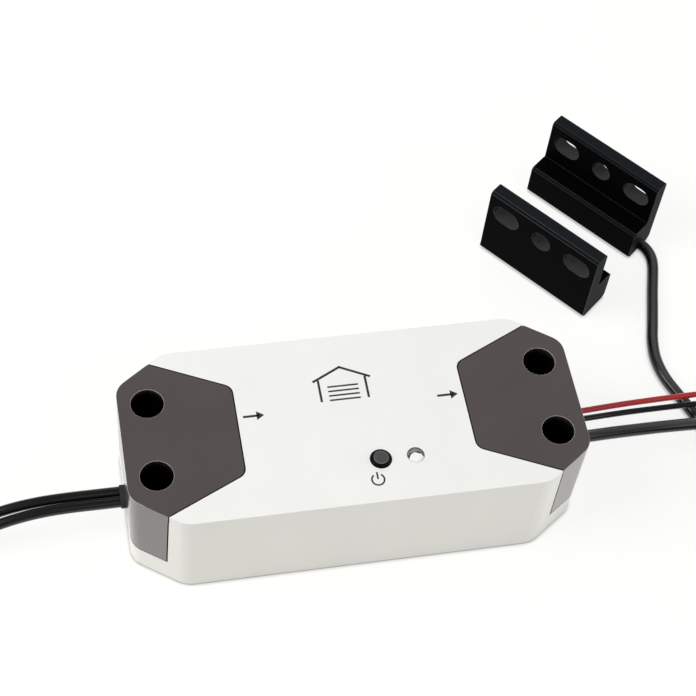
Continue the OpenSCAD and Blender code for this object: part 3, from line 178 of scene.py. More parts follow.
def plated(name, colour, shade, roughness, streak_mm):
    """Bare or plated metal: streaks in tone and gloss, coarser than real so that they show."""
    material, tree, shader, place = new_finish(name)
    streak = add(tree, "ShaderNodeTexNoise", {
        "Vector": place, "Scale": 1 / (streak_mm * MM), "Detail": 4,
    })
    tone = add(tree, "ShaderNodeValToRGB", {"Fac": streak.outputs["Fac"]},
               stops=[(0, shade), (1, colour)])
    gloss = add(tree, "ShaderNodeMapRange", {
        "Value": streak.outputs["Fac"],
        "To Min": roughness - METAL_GLOSS_SPREAD, "To Max": roughness + METAL_GLOSS_SPREAD,
    })
    tree.links.new(tone.outputs["Color"], shader.inputs["Base Color"])
    tree.links.new(gloss.outputs["Result"], shader.inputs["Roughness"])
    shader.inputs["Metallic"].default_value = 1
    return material


def painted_light_from_above(name, stops, roughness, grain_mm, ior, grain_depth_mm=0.003):
    """Black plastic with painted light: paler facing up, by stops from level sides to a flat top.
    """
    material, tree, shader, place = new_finish(name)
    facing = add(tree, "ShaderNodeSeparateXYZ", {
        "Vector": add(tree, "ShaderNodeNewGeometry").outputs["Normal"],
    })
    # Painted light: the tone follows how far the face turns up.
    tone = add(tree, "ShaderNodeValToRGB", {"Fac": facing.outputs["Z"]}, stops=stops)
    mould_grain(tree, shader, place, grain_mm, grain_depth_mm)
    tree.links.new(tone.outputs["Color"], shader.inputs["Base Color"])
    shader.inputs["Roughness"].default_value = roughness
    shader.inputs["IOR"].default_value = ior
    return material


def solder_mask(name, colour, trace):
    """Circuit board: coloured lacquer, paler over the copper tracks beneath it."""
    cell_mm, rings_per_cell, gap_share, track_mm = 2.6, 5, 0.55, 0.03
    material, tree, shader, place = new_finish(name)
    cells = add(tree, "ShaderNodeTexVoronoi", {
        "Vector": place, "Scale": 1 / (cell_mm * MM), "Randomness": 0.85,
    }, feature="F1", distance="CHEBYCHEV")
    rings = add(tree, "ShaderNodeMath", {
        0: cells.outputs["Distance"], 1: rings_per_cell,
    }, operation="MULTIPLY")
    bands = add(tree, "ShaderNodeMath", {0: rings.outputs[0]}, operation="FRACT")
    tracks = add(tree, "ShaderNodeMath", {
        0: bands.outputs[0], 1: gap_share,
    }, operation="GREATER_THAN")
    tone = add(tree, "ShaderNodeMix", {
        "Factor": tracks.outputs[0], "A": linear(colour), "B": linear(trace),
    }, data_type="RGBA")
    bump = add(tree, "ShaderNodeBump", {"Height": tracks.outputs[0], "Distance": track_mm * MM})
    tree.links.new(tone.outputs["Result"], shader.inputs["Base Color"])
    tree.links.new(bump.outputs["Normal"], shader.inputs["Normal"])
    shader.inputs["Roughness"].default_value = 0.3
    return material


# Finishes of single pieces, with the CAD sizes that they follow, in millimetres

WELL_AT = Vector((43.6, 9, 0))
WELL_R = 3.6
WELL_RIM = 0.4
RIM_FADE = 0.2
END_EDGE_X = 47.4
END_FADE = 1
PAIR_TURN = math.radians(-50)
LEDGE_Z = 9.4
LEDGE_MARGIN = 1
FIXING_Z = 16.4
FIXING_R = 2.6
FIXING_MARGIN = 0.1
FIXING_TILT = 0.24
WINDOW_AT = (11.5, -11.1)
WINDOW_R = 1.8
CRESCENT_SHIFT = 1.06
CRESCENT_RIPPLE = 0.9
RIPPLE_L = 0.5


def white_abs():
    """Satin white ABS: a soft wide highlight, and a grain that only just breaks it up."""
    # Painted shade darkens its seams and creases.
    return moulded("white_abs_moulded", "#efefec", "#ecece9", 0.4, 0.35, 0.003, painted_shade_mm=0.9)


def grey_abs():
    """Polished warm grey ABS: dark from above, bright at a slant, where it mirrors the floor."""
    # Painted shade turns its wells black.
    return moulded("grey_abs_polished", "#4a4341", "#463f3d", 0.24, 0.3, 0.002, ior=1.75,
                   painted_shade_mm=9, crevice=(0.5, 0.8))


def grey_abs_edge_painted_light():
    """Rounded cover edges: a pale painted highlight round wells and at the end, painted seam
    shade.
    """
    material, tree, shader, place = new_finish("grey_abs_edge_painted_light")
    mirrored = add(tree, "ShaderNodeVectorMath", {0: place}, operation="ABSOLUTE")
    offset = add(tree, "ShaderNodeVectorMath", {
        0: mirrored.outputs["Vector"], 1: WELL_AT * MM,
    }, operation="SUBTRACT")
    level = add(tree, "ShaderNodeVectorMath", {
        0: offset.outputs["Vector"], 1: (1, 1, 0),
    }, operation="MULTIPLY")
    away = add(tree, "ShaderNodeVectorMath", {0: level.outputs["Vector"]}, operation="LENGTH")
    rim = WELL_R + WELL_RIM
    seam = add(tree, "ShaderNodeMapRange", {
        "Value": away.outputs["Value"], "From Min": rim * MM, "From Max": (rim + RIM_FADE) * MM,
    })
    along = add(tree, "ShaderNodeSeparateXYZ", {"Vector": mirrored.outputs["Vector"]})
    inward = add(tree, "ShaderNodeMapRange", {
        "Value": along.outputs["X"],
        "From Min": END_EDGE_X * MM, "From Max": (END_EDGE_X - END_FADE) * MM,
    })
    dark = add(tree, "ShaderNodeMath", {
        0: seam.outputs["Result"], 1: inward.outputs["Result"],
    }, operation="MULTIPLY")
    # Painted highlight where pale, painted seam shade where dark.
    tone = add(tree, "ShaderNodeValToRGB", {"Fac": dark.outputs[0]},
               stops=[(0, "#c9c2c0"), (1, "#2e2927")])
    tree.links.new(tone.outputs["Color"], shader.inputs["Base Color"])
    shader.inputs["Roughness"].default_value = 0.3
    return material


def black_abs():
    """Matt black ABS with painted light: broad faces black, ends and tops greyer, hole walls
    greyest.
    """
    material, tree, shader, place = new_finish("black_abs_matt")
    turned = add(tree, "ShaderNodeVectorRotate", {
        "Vector": add(tree, "ShaderNodeNewGeometry").outputs["Normal"], "Angle": -PAIR_TURN,
    }, rotation_type="Z_AXIS")
    either_way = add(tree, "ShaderNodeVectorMath", {
        0: turned.outputs["Vector"],
    }, operation="ABSOLUTE")
    facing = add(tree, "ShaderNodeSeparateXYZ", {"Vector": either_way.outputs["Vector"]})
    height = add(tree, "ShaderNodeSeparateXYZ", {"Vector": place}).outputs["Z"]
    # Painted shade: the low ledge's top stays as black as the broad faces.
    low = add(tree, "ShaderNodeMath", {
        0: height, 1: (LEDGE_Z + LEDGE_MARGIN) * MM,
    }, operation="LESS_THAN")
    ledge = add(tree, "ShaderNodeMath", {
        0: facing.outputs["Z"], 1: low.outputs[0],
    }, operation="MULTIPLY")
    broad = add(tree, "ShaderNodeMath", {
        0: facing.outputs["Y"], 1: ledge.outputs[0],
    }, operation="MAXIMUM")
    # Painted light: faces turned up or to the ends are greyer than the broad faces.
    tone = add(tree, "ShaderNodeValToRGB", {"Fac": broad.outputs[0]},
               stops=[(0.5, "#1b1f22"), (0.9, "#060505")])
    # Painted light: the walls of the fixing holes are greyest.
    beside_holes = add(tree, "ShaderNodeMath", {
        0: height, 1: FIXING_Z * MM, 2: (FIXING_R + FIXING_MARGIN) * MM,
    }, operation="COMPARE")
    slanted = add(tree, "ShaderNodeMath", {
        0: facing.outputs["Z"], 1: FIXING_TILT,
    }, operation="GREATER_THAN")
    hole_wall_painted_light = add(tree, "ShaderNodeMath", {
        0: beside_holes.outputs[0], 1: slanted.outputs[0],
    }, operation="MULTIPLY")
    shown = add(tree, "ShaderNodeMix", {
        "Factor": hole_wall_painted_light.outputs[0], "A": tone.outputs["Color"], "B": linear("#3a3b3b"),
    }, data_type="RGBA")
    mould_grain(tree, shader, place, 0.4, 0.005)
    tree.links.new(shown.outputs["Result"], shader.inputs["Base Color"])
    shader.inputs["Roughness"].default_value = 0.5
    shader.inputs["IOR"].default_value = 1.12
    shader.inputs["Specular IOR Level"].default_value = 0.12
    return material


def black_abs_edge_painted_highlight():
    """Rounded edges of the door contact, smoother than its faces: thin dark grey painted
    highlights.
    """
    return moulded("black_abs_edge_painted_highlight", "#2a2d2e", "#262929", 0.4, 0.4, 0.003, ior=1.3)


def button_abs():
    """Black ABS of the push button: a flat top painted grey as if lit, and a cone that stays
    black.
    """
    return painted_light_from_above("black_abs_button", [(0.85, "#0b0b0b"), (0.95, "#4b4b4b")], 0.4, 0.3, 1.15)


def button_edge_painted_highlight():
    """Edge of the button's flat top, a little smoother: a thin pale painted highlight."""
    return moulded("black_abs_button_edge", "#7c7c7c", "#747474", 0.3, 0.3, 0.002)


def grommet_rubber():
    """Black moulded rubber: a dull surface with no clear reflection."""
    return moulded("black_rubber_moulded", "#2b2b2c", "#252526", 0.7, 0.5, 0.01)


def black_pvc():
    """Black PVC insulation: smooth and slightly waxy, with a soft bright line along it."""
    return moulded("black_pvc_extruded", "#0f0f10", "#0c0c0d", 0.2, 0.8, 0.003, ior=1.4)


def lead_pvc():
    """Black PVC jacket of the lead: a soft grey painted highlight along its crest."""
    return painted_light_from_above("black_pvc_jacket", [(0.84, "#0c0c0d"), (1, "#454546")], 0.2, 0.8, 1.4)


def red_pvc():
    """Red PVC insulation of a thin wire: an even strong red with a soft gloss."""
    return moulded("red_pvc_extruded", "#b4262b", "#a82026", 0.32, 0.8, 0.003)


def printing_ink():
    """Dark pad-printed ink: a thin matt film."""
    return moulded("pad_print_ink", "#2a2a2b", "#242425", 0.6, 0.2, 0.001)


def clear_acrylic():
    """Clear acrylic window: a painted reflection, bright in front, with a dark crescent of its
    seat.
    """
    material, tree, shader, place = new_finish("acrylic_clear")
    level = add(tree, "ShaderNodeVectorMath", {0: place, 1: (1, 1, 0)}, operation="MULTIPLY")
    focus = (WINDOW_AT[0] * MM, (WINDOW_AT[1] - CRESCENT_SHIFT) * MM, 0)
    reach = add(tree, "ShaderNodeVectorMath", {
        0: level.outputs["Vector"], 1: focus,
    }, operation="DISTANCE")
    ripple = add(tree, "ShaderNodeTexNoise", {
        "Vector": place, "Scale": 1 / (RIPPLE_L * MM), "Detail": 2,
    })
    bent = add(tree, "ShaderNodeMath", {
        0: ripple.outputs["Fac"], 1: CRESCENT_RIPPLE * MM, 2: -CRESCENT_RIPPLE / 2 * MM,
    }, operation="MULTIPLY_ADD")
    far = add(tree, "ShaderNodeMath", {
        0: reach.outputs["Value"], 1: bent.outputs[0],
    }, operation="ADD")
    share = add(tree, "ShaderNodeMath", {
        0: far.outputs[0], 1: (WINDOW_R + CRESCENT_SHIFT) * MM,
    }, operation="DIVIDE")
    # Painted reflection: white in front, then dark and grey rings of the seat behind.
    tone = add(tree, "ShaderNodeValToRGB", {"Fac": share.outputs[0]}, stops=[
        (0, "#f4f5f5"), (0.54, "#eef0f0"), (0.57, "#2c2c2b"), (0.67, "#474745"),
        (0.73, "#a2a29e"), (0.79, "#5a5a57"), (1, "#777773"),
    ])
    tree.links.new(tone.outputs["Color"], shader.inputs["Base Color"])
    shader.inputs["Roughness"].default_value = 0.06
    shader.inputs["IOR"].default_value = 1.49
    return material


def sealing_glass():
    """Green drawn glass of the reed's capsule: clear, with small seeds that bend the view."""
    seed_mm, seed_depth_mm = 0.6, 0.01
    material, tree, shader, place = new_finish("glass_green_drawn")
    seed = add(tree, "ShaderNodeTexNoise", {
        "Vector": place, "Scale": 1 / (seed_mm * MM), "Detail": 1,
    })
    bump = add(tree, "ShaderNodeBump", {
        "Height": seed.outputs["Fac"], "Distance": seed_depth_mm * MM,
    })
    tree.links.new(bump.outputs["Normal"], shader.inputs["Normal"])
    shader.inputs["Base Color"].default_value = linear("#9dbfa6")
    shader.inputs["Roughness"].default_value = 0.06
    shader.inputs["Transmission Weight"].default_value = 0.9
    shader.inputs["IOR"].default_value = 1.52
    return material


def finish_cad():
    """Gives each CAD node its material."""
    by_finish = [
        (white_abs(), ["upper_housing", "base_plate"]),
        (grey_abs(), ["input_cover", "output_cover"]),
        (button_abs(), ["button_cap"]),
        (black_abs(), ["reed_housing", "magnet_housing", "lead_tie"]),
        (grommet_rubber(), ["input_grommet", "output_grommet"]),
        (clear_acrylic(), ["light_pipe"]),
        (sealing_glass(), ["reed_capsule"]),
        (solder_mask("solder_mask_green", "#14593a", "#1f7a4c"), ["circuit_board"]),
        (solder_mask("solder_mask_blue", "#122f52", "#1c4470"), ["radio_board"]),
        # Zinc plate: bright and cool, with fine streaks
        (plated("steel_zinc_plated", "#c3c6ca", "#a9acb1", 0.32, 0.6), [
            "base_screws", "board_screws", "input_terminal_screws", "output_terminal_screws",
            "relay_yoke", "relay_armature",
        ]),
        # Black zinc: almost black, with a dull metal sheen
        (plated("steel_black_zinc", "#4a4a4d", "#38383a", 0.4, 0.6), [
            "input_cover_screws", "output_cover_screws",
        ]),
        # Bare copper: warm and bright
        (plated("copper_bare", "#c98a5a", "#b87848", 0.3, 0.4), ["relay_coil", "relay_contacts"]),
        # Tin plate: a pale mirror with wide soft streaks
        (plated("tin_plate", "#c6c8cb", "#b2b5b9", 0.28, 1.5), ["radio_shield"]),
        # Moulded epoxy: dark grey and dull
        (moulded("epoxy_package_black", "#28282a", "#232325", 0.5, 0.25, 0.006), [
            "bridge_rectifier", "converter_chip", "tact_switch", "switch_plunger",
        ]),
        # Moulded nylon: an even green with a soft gloss
        (moulded("nylon_green", "#3f8f5b", "#388452", 0.35, 0.4, 0.004), [
            "input_terminal", "output_terminal",
        ]),
        # Shrunk PVC sleeve: smooth navy with a clear gloss
        (moulded("pvc_sleeve_navy", "#2a3350", "#252d47", 0.25, 0.5, 0.002), [
            "bulk_capacitor", "output_capacitor",
        ]),
        # Sintered ferrite: dark grey with a coarse dull grain
        (moulded("ferrite_sintered", "#45474c", "#3c3e43", 0.45, 0.3, 0.01), [
            "transformer_core", "bar_magnet",
        ]),
        # Moulded polyester: a strong even blue, half glossy
        (moulded("polyester_blue", "#2456a5", "#1f4d97", 0.3, 0.4, 0.003), [
            "relay_base", "relay_case",
        ]),
        # Poured epoxy: black and glossy, with a slow ripple
        (moulded("epoxy_resin_poured", "#17191a", "#131516", 0.22, 2.0, 0.02), [
            "reed_filling", "magnet_filling",
        ]),
        # Glazed ceramic: cream with a clear gloss
        (moulded("ceramic_glazed", "#cbb68c", "#c0aa7e", 0.3, 0.8, 0.003), ["fuse"]),
        # Dipped epoxy: a thick glossy blue skin
        (moulded("epoxy_dip_blue", "#2f62a8", "#295899", 0.2, 1.0, 0.006), ["varistor"]),
        # Polyester box: an even yellow, half glossy
        (moulded("polyester_box_yellow", "#dcb440", "#d2a936", 0.35, 0.5, 0.004), [
            "mains_filter_capacitor",
        ]),
        # Film tape: glossy amber
        (moulded("film_tape_amber", "#c99c3e", "#bd9034", 0.2, 0.8, 0.004), [
            "transformer_winding",
        ]),
        # Phosphor: pale yellow and matt
        (moulded("phosphor_white", "#f2ecc8", "#ece4b8", 0.5, 0.2, 0.002), ["status_led"]),
        # Extruded white PVC: warm white with a soft gloss
        (moulded("white_pvc_extruded", "#d9d6cf", "#cfccc4", 0.35, 0.8, 0.003), [
            "sensor_lead_cores",
        ]),
    ]
    for material, names in by_finish:
        for name in names:
            NODES[name].data.materials.clear()
            NODES[name].data.materials.append(material)


# Moulded edges: widths in millimetres, less where two edges lie close together

HOUSING_EDGE = 0.45
COVER_EDGE = 0.26
BUTTON_EDGE = 0.05
CONTACT_EDGE = 0.35
WELD_REACH = 0.002
FLAT_WITHIN = math.radians(0.5)
EDGE_FROM = math.radians(30)
NOTCHED_FROM = 5


def weld(name):
    """Joins a CAD node's coinciding corners, which also takes out faces without an area."""
    node = NODES[name]
    joined = node.modifiers.new("weld", "WELD")
    joined.merge_threshold = WELD_REACH * MM
    return node


def soften(name, width_mm, segments=3, edge_finish=None, cut_from=0):
    """Rounds a CAD node's edges as its mould does, on top of the unchanged mesh.

    Where the node has deeply notched faces, those with at least cut_from corners are first cut
    in triangles.
    """
    node = weld(name)
    flat = node.modifiers.new("flat_faces", "DECIMATE")
    flat.decimate_type = "DISSOLVE"
    flat.angle_limit = FLAT_WITHIN
    if cut_from:
        cut = node.modifiers.new("cut_faces", "TRIANGULATE")
        cut.min_vertices = cut_from
    edge = node.modifiers.new("edges", "BEVEL")
    edge.width = width_mm * MM
    edge.segments = segments
    edge.limit_method = "ANGLE"
    edge.angle_limit = EDGE_FROM
    edge.miter_outer = "MITER_SHARP"
    edge.harden_normals = True
    if edge_finish:
        node.data.materials.append(edge_finish)
        edge.material = len(node.data.materials) - 1


def soften_mouldings():
    """Rounds the mouldings that the eye meets, and cleans the window's mesh."""
    weld("light_pipe")
    soften("upper_housing", HOUSING_EDGE, cut_from=NOTCHED_FROM)
    cover_edge_painted_light = grey_abs_edge_painted_light()
    for name in ("input_cover", "output_cover"):
        soften(name, COVER_EDGE, 2, cover_edge_painted_light)
    soften("button_cap", BUTTON_EDGE, 2, button_edge_painted_highlight())
    contact_edge_painted_highlight = black_abs_edge_painted_highlight()
    for name in ("reed_housing", "magnet_housing"):
        soften(name, CONTACT_EDGE, 3, contact_edge_painted_highlight)


# Wires and lead, in millimetres: routes start at the terminals, the far one at the contact

MAINS = {"radius": 1.2, "strand_r": 0.24, "lay_r": 0.45, "bare_l": 7}
TAIL = {"radius": 0.7, "strand_r": 0.14, "lay_r": 0.26, "bare_l": 5}
LEAD_R = 1.45
MAINS_FRONT_ROUTE = [
    (-36, -5.3, 10.8), (-39, -5.3, 10.8), (-42.5, -4.7, 9.9), (-46.5, -4.1, 9.5), (-50, -4.1, 9.5),
    (-56, -4.1, 9.5), (-62, -4.1, 9.5), (-68, -4.3, 9.3), (-74, -4.8, 8.6), (-80, -5.6, 7.3),
    (-86, -6.6, 5.5), (-92, -7.4, 3.5), (-98, -8, 1.9), (-104, -8.3, 1.3), (-109.6, -9.8, 1.3),
    (-113.6, -13.8, 1.3), (-115, -18.4, 1.3), (-113.6, -23, 1.3), (-109.6, -27, 1.3),
    (-104, -28.5, 1.3), (-98, -28.6, 1.3), (-92, -28.6, 1.3),
]
MAINS_REAR_ROUTE = [
    (-36, -0.3, 10.8), (-39, -0.3, 10.8), (-42.5, -0.9, 9.9), (-46.5, -1.5, 9.5), (-50, -1.5, 9.5),
    (-56, -1.5, 9.5), (-62, -1.5, 9.5), (-68, -1.6, 9.3), (-74, -1.9, 8.6), (-80, -2.5, 7.3),
    (-86, -3.3, 5.5), (-92, -4.1, 3.5), (-98, -4.6, 1.9), (-104, -4.9, 1.3), (-111.4, -6.8, 1.3),
    (-116.6, -12, 1.3), (-118.4, -18.4, 1.3), (-116.6, -24.8, 1.3), (-111.4, -30, 1.3),
    (-104, -31.9, 1.3), (-98, -32, 1.3), (-92, -32, 1.3),
]
TAIL_BLACK_ROUTE = [
    (36.5, 3.3, 10.8), (39, 3.3, 10.8), (42.5, 3.3, 9.9), (46.5, 3.3, 9.5), (50, 3.3, 9.5),
    (56, 3.7, 9.3), (62, 4.2, 8.9), (68, 4.8, 8.2), (74, 5.4, 7.3), (80, 6, 6.3), (86, 6.5, 5.4),
    (92, 6.9, 4), (98, 7.1, 2.2), (104, 7.2, 0.9), (110, 7.3, 0.8), (115.5, 9.5, 0.8),
    (118, 14.8, 0.8), (115.5, 20.1, 0.8), (110, 22.3, 0.8), (104, 22.4, 0.8),
]
TAIL_RED_ROUTE = [
    (36.5, 6.7, 10.8), (39, 6.7, 10.8), (41, 5.8, 10.3), (43.5, 5.3, 9.8), (46.5, 5.3, 9.5),
    (50, 5.3, 9.5), (56, 5.8, 9.3), (62, 6.4, 8.9), (68, 7.1, 8.2), (74, 7.8, 7.3), (80, 8.5, 6.3),
    (86, 9.1, 5.4), (92, 9.6, 4), (98, 9.8, 2.2), (104, 9.9, 0.9), (110, 10, 0.8),
    (113.8, 11.4, 0.8), (115.4, 14.8, 0.8), (113.8, 18.2, 0.8), (110, 19.6, 0.8), (104, 19.8, 0.8),
]
LEAD_ROUTE = [
    (41.5, -1.3, 9.7), (46.5, -1.3, 9.5), (50, -1.3, 9.5), (56, -1, 9.3), (62, -0.5, 8.7),
    (68, 0, 7.9), (74, 0.4, 7.2), (80, 0.5, 6.8), (86, 0.2, 7), (92, -0.6, 8.4), (98, -1.5, 10.8),
]
LEAD_FAR_ROUTE = [
    (83.54, 59.72, 1.9), (85.78, 57.04, 1.9), (87.1, 54.9, 1.8), (87.6, 52.4, 1.7),
    (87.3, 49.8, 1.6), (86.6, 47.1, 1.5), (85.2, 42.4, 1.5), (83.9, 37.7, 1.5),
    (82.5, 32.7, 1.5), (81.1, 27.6, 1.5), (80.5, 22.4, 1.5), (81.3, 16.9, 1.5),
    (83.4, 11.2, 1.5), (85.6, 5.4, 1.5), (87.2, -0.4, 1.5), (88, -6, 1.7), (88, -12, 2.2),
]
COIL_AT = Vector((112, -26, 0))
COIL_TURNS = 17.75
COIL_LAYERS = 4
COIL_PITCH = 3.5
COIL_MID_R = 16.25
COIL_Z = 2.45
COIL_STEPS = 36
CLIMB_TURNS = 0.5
ROUTE_STEPS = 6
CORD_ROUNDNESS = 4
STRANDS = 6
STRAND_TWIST = 0.7
STRAND_STEPS = 16
STRAND_SIDES = 8


def smooth_route(route):
    """More points on a smooth curve through a route's own."""
    p = [Vector(point) for point in route]
    p = [2 * p[0] - p[1]] + p + [2 * p[-1] - p[-2]]
    points = []
    for a, b, c, d in zip(p, p[1:], p[2:], p[3:]):
        for step in range(ROUTE_STEPS):
            t = step / ROUTE_STEPS
            points.append(0.5 * (
                2 * b + (c - a) * t + (2 * a - 5 * b + 4 * c - d) * t ** 2
                + (3 * b - a - 3 * c + d) * t ** 3
            ))
    return points + [p[-2]]


def coil_points():
    """The lead's coil: layers that spiral in and out, each one a step higher than the last."""
    layer_turns = COIL_TURNS / COIL_LAYERS
    run = COIL_PITCH * layer_turns
    count = round(COIL_TURNS * COIL_STEPS)
    points = []
    for i in range(count + 1):
        turns = COIL_TURNS * i / count
        layer = turns / layer_turns
        radius = COIL_MID_R - run / 2 + run * abs(1 - layer % 2)
        height = COIL_Z
        for climb in range(1, COIL_LAYERS):
            t = min(1, max(0, (turns - climb * layer_turns) / CLIMB_TURNS + 0.5))
            height += COIL_PITCH * t * t * (3 - 2 * t)
        turn = math.pi + 2 * math.pi * turns
        around = Vector((radius * math.cos(turn), radius * math.sin(turn), height))
        points.append(COIL_AT + around)
    points[-1].y = COIL_AT.y + COIL_MID_R + run / 2
    return points


def cord_curve(name, points, radius, material):
    """A round cord along points, both in millimetres."""
    data = bpy.data.curves.new(name, "CURVE")
    data.dimensions = "3D"
    data.bevel_depth = radius * MM
    data.bevel_resolution = CORD_ROUNDNESS
    data.use_fill_caps = True
    spline = data.splines.new("POLY")
    spline.points.add(len(points) - 1)
    for target, point in zip(spline.points, points):
        target.co = (*(Vector(point) * MM), 1)
    spline.use_smooth = True
    data.materials.append(material)
    cord = bpy.data.objects.new(name, data)
    bpy.context.scene.collection.objects.link(cord)
    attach(cord, UNIT)
    return cord


def geometry_tree(name, sizes):
    """An empty geometry tree whose inputs are named sizes, and its two end nodes."""
    tree = bpy.data.node_groups.new(name, "GeometryNodeTree")
    tree.interface.new_socket("Geometry", in_out="OUTPUT", socket_type="NodeSocketGeometry")
    for size, kind in sizes.items():
        tree.interface.new_socket(size, in_out="INPUT", socket_type=kind)
    return tree, add(tree, "NodeGroupInput"), add(tree, "NodeGroupOutput")


def grown(name, tree, values, place):
    """A plain mesh object from a geometry tree, moved to its place in metres."""
    maker = bpy.data.objects.new(name + "_maker", bpy.data.meshes.new(name + "_maker"))
    bpy.context.scene.collection.objects.link(maker)
    modifier = maker.modifiers.new("grow", "NODES")
    modifier.node_group = tree
    for item in tree.interface.items_tree:
        if item.in_out == "INPUT" and item.name in values:
            modifier[item.identifier] = values[item.name]
    graph = bpy.context.evaluated_depsgraph_get()
    mesh = bpy.data.meshes.new_from_object(maker.evaluated_get(graph))
    bpy.data.objects.remove(maker)
    mesh.name = name
    mesh.transform(place)
    piece = bpy.data.objects.new(name, mesh)
    bpy.context.scene.collection.objects.link(piece)
    return piece


def strand_tree():
    """Bared end of a wire: twisted strands round the wire's own line."""
    tree, given, result = geometry_tree("bared_strands", {
        "Strands": "NodeSocketInt", "Strand Radius": "NodeSocketFloat",
        "Lay Radius": "NodeSocketFloat", "Length": "NodeSocketFloat",
        "Finish": "NodeSocketMaterial",
    })
    line = add(tree, "GeometryNodeCurveSpiral", {
        "Resolution": STRAND_STEPS, "Rotations": STRAND_TWIST,
        "Start Radius": given.outputs["Lay Radius"],
        "End Radius": given.outputs["Lay Radius"], "Height": given.outputs["Length"],
    })
    section = add(tree, "GeometryNodeCurvePrimitiveCircle", {
        "Resolution": STRAND_SIDES, "Radius": given.outputs["Strand Radius"],
    })
    strand = add(tree, "GeometryNodeCurveToMesh", {
        "Curve": line.outputs[0], "Profile Curve": section.outputs["Curve"], "Fill Caps": True,
    })
    places = add(tree, "GeometryNodePoints", {"Count": given.outputs["Strands"]})
    index = add(tree, "GeometryNodeInputIndex")
    share = add(tree, "ShaderNodeMath", {
        0: index.outputs[0], 1: given.outputs["Strands"],
    }, operation="DIVIDE")
    angle = add(tree, "ShaderNodeMath", {
        0: share.outputs[0], 1: 2 * math.pi,
    }, operation="MULTIPLY")
    turn = add(tree, "ShaderNodeCombineXYZ", {"Z": angle.outputs[0]})
    spread = add(tree, "GeometryNodeInstanceOnPoints", {
        "Points": places.outputs[0], "Instance": strand.outputs[0], "Rotation": turn.outputs[0],
    })
    solid = add(tree, "GeometryNodeRealizeInstances", {"Geometry": spread.outputs[0]})
    painted = add(tree, "GeometryNodeSetMaterial", {
        "Geometry": solid.outputs[0], "Material": given.outputs["Finish"],
    })
    tree.links.new(painted.outputs[0], result.inputs[0])
    return tree


def bared_end(name, tree, points, kind, finish):
    """Strands that run on from a wire's last point, with the sizes of its kind."""
    along = (points[-1] - points[-2]).normalized()
    turn = along.to_track_quat("Z", "Y").to_matrix().to_4x4()
    piece = grown(name, tree, {
        "Strands": STRANDS, "Strand Radius": kind["strand_r"] * MM,
        "Lay Radius": kind["lay_r"] * MM, "Length": kind["bare_l"] * MM, "Finish": finish,
    }, Matrix.Translation(points[-1] * MM) @ turn)
    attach(piece, UNIT)
    return piece


def make_wires():
    """The two mains wires and the two thin wires to the door opener, with bared ends."""
    black, red = black_pvc(), red_pvc()
    # Tinned copper strand: pale warm metal with short streaks
    copper = plated("copper_tinned_strand", "#d0a878", "#b98a58", 0.28, 0.4)
    tree = strand_tree()
    wires = [
        ("input_wire_front", MAINS_FRONT_ROUTE, MAINS, black, "input_wire_ends"),
        ("input_wire_rear", MAINS_REAR_ROUTE, MAINS, black, "input_wire_ends"),
        ("output_wire_red", TAIL_RED_ROUTE, TAIL, red, "output_wire_ends"),
        ("output_wire_black", TAIL_BLACK_ROUTE, TAIL, black, "output_wire_ends"),
    ]
    for node, route, kind, material, ends in wires:
        points = smooth_route(route)
        radius = kind["radius"]
        wire = cord_curve(node + "_cord", points, radius, material)
        tip = bared_end(node + "_strands", tree, points, kind, copper)
        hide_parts(node)
        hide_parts(ends)


def make_lead():
    """The door contact's lead in one length: from the unit through the coil to the wired half."""
    coil = coil_points()
    diameter = 2 * LEAD_R
    straight = 2 * diameter
    last = coil[-1] + Vector((-diameter, 0, 0))
    first = coil[0] + Vector((0, diameter, 0))
    near = smooth_route(LEAD_ROUTE + [last + Vector((-straight, 0, 0)), last])
    far = smooth_route(LEAD_FAR_ROUTE + [first + Vector((0, straight, 0)), first])
    points = near + coil[::-1] + far[::-1]
    lead = cord_curve("sensor_lead_cord", points, LEAD_R, lead_pvc())
    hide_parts("sensor_lead", "sensor_lead_coil", "sensor_lead_far")


# Printed signs on the housing's top, in millimetres

INK_T = 0.02
ARC_STEPS = 24
POWER_AT = Vector((2.4, -16))
POWER_R = 1.35
POWER_STROKE = 0.36
POWER_ARC = (125, 415)
POWER_BAR = (0.1, 1.8)
ARROW_AT = (21.4, 3)
ARROW_L = 4.6
ARROW_STROKE = 0.55
GARAGE_X = (-6.2, 4.2)
GARAGE_Y = (4.6, 10.2)
GARAGE_EAVES = (1.2, 0.3)
GARAGE_RIDGE = (0.15, 3)
WALL_STROKE = 0.5
ROOF_STROKE = 0.55
SLAT_STROKE = 0.4
SLAT_INSET = 1.8
SLAT_FIRST = 0.2
SLAT_PITCH = 1.15
SLATS = 4


def bar(start, end, width):
    """Outline of a straight stroke."""
    a, b = Vector(start), Vector(end)
    side = (b - a).normalized().orthogonal() * width / 2
    return [a - side, b - side, b + side, a + side]


def arc(middle, radius, width, first, last):
    """Outline of a curved stroke between two angles in degrees."""
    turns = [math.radians(first + (last - first) * i / ARC_STEPS) for i in range(ARC_STEPS + 1)]
    rays = [Vector((math.cos(t), math.sin(t))) for t in turns]
    outer = [middle + ray * (radius + width / 2) for ray in rays]
    inner = [middle + ray * (radius - width / 2) for ray in rays]
    return outer + inner[::-1]


def arrow(x, y):
    """Outlines of an arrow along the unit: its head is three strokes long and four wide."""
    tail, tip = x - ARROW_L / 2, x + ARROW_L / 2
    barb_x, barb_y = tip - 3 * ARROW_STROKE, 2 * ARROW_STROKE
    return [
        bar((tail, y), (tip - 2 * ARROW_STROKE, y), ARROW_STROKE),
        [Vector((barb_x, y - barb_y)), Vector((tip, y)), Vector((barb_x, y + barb_y))],
    ]


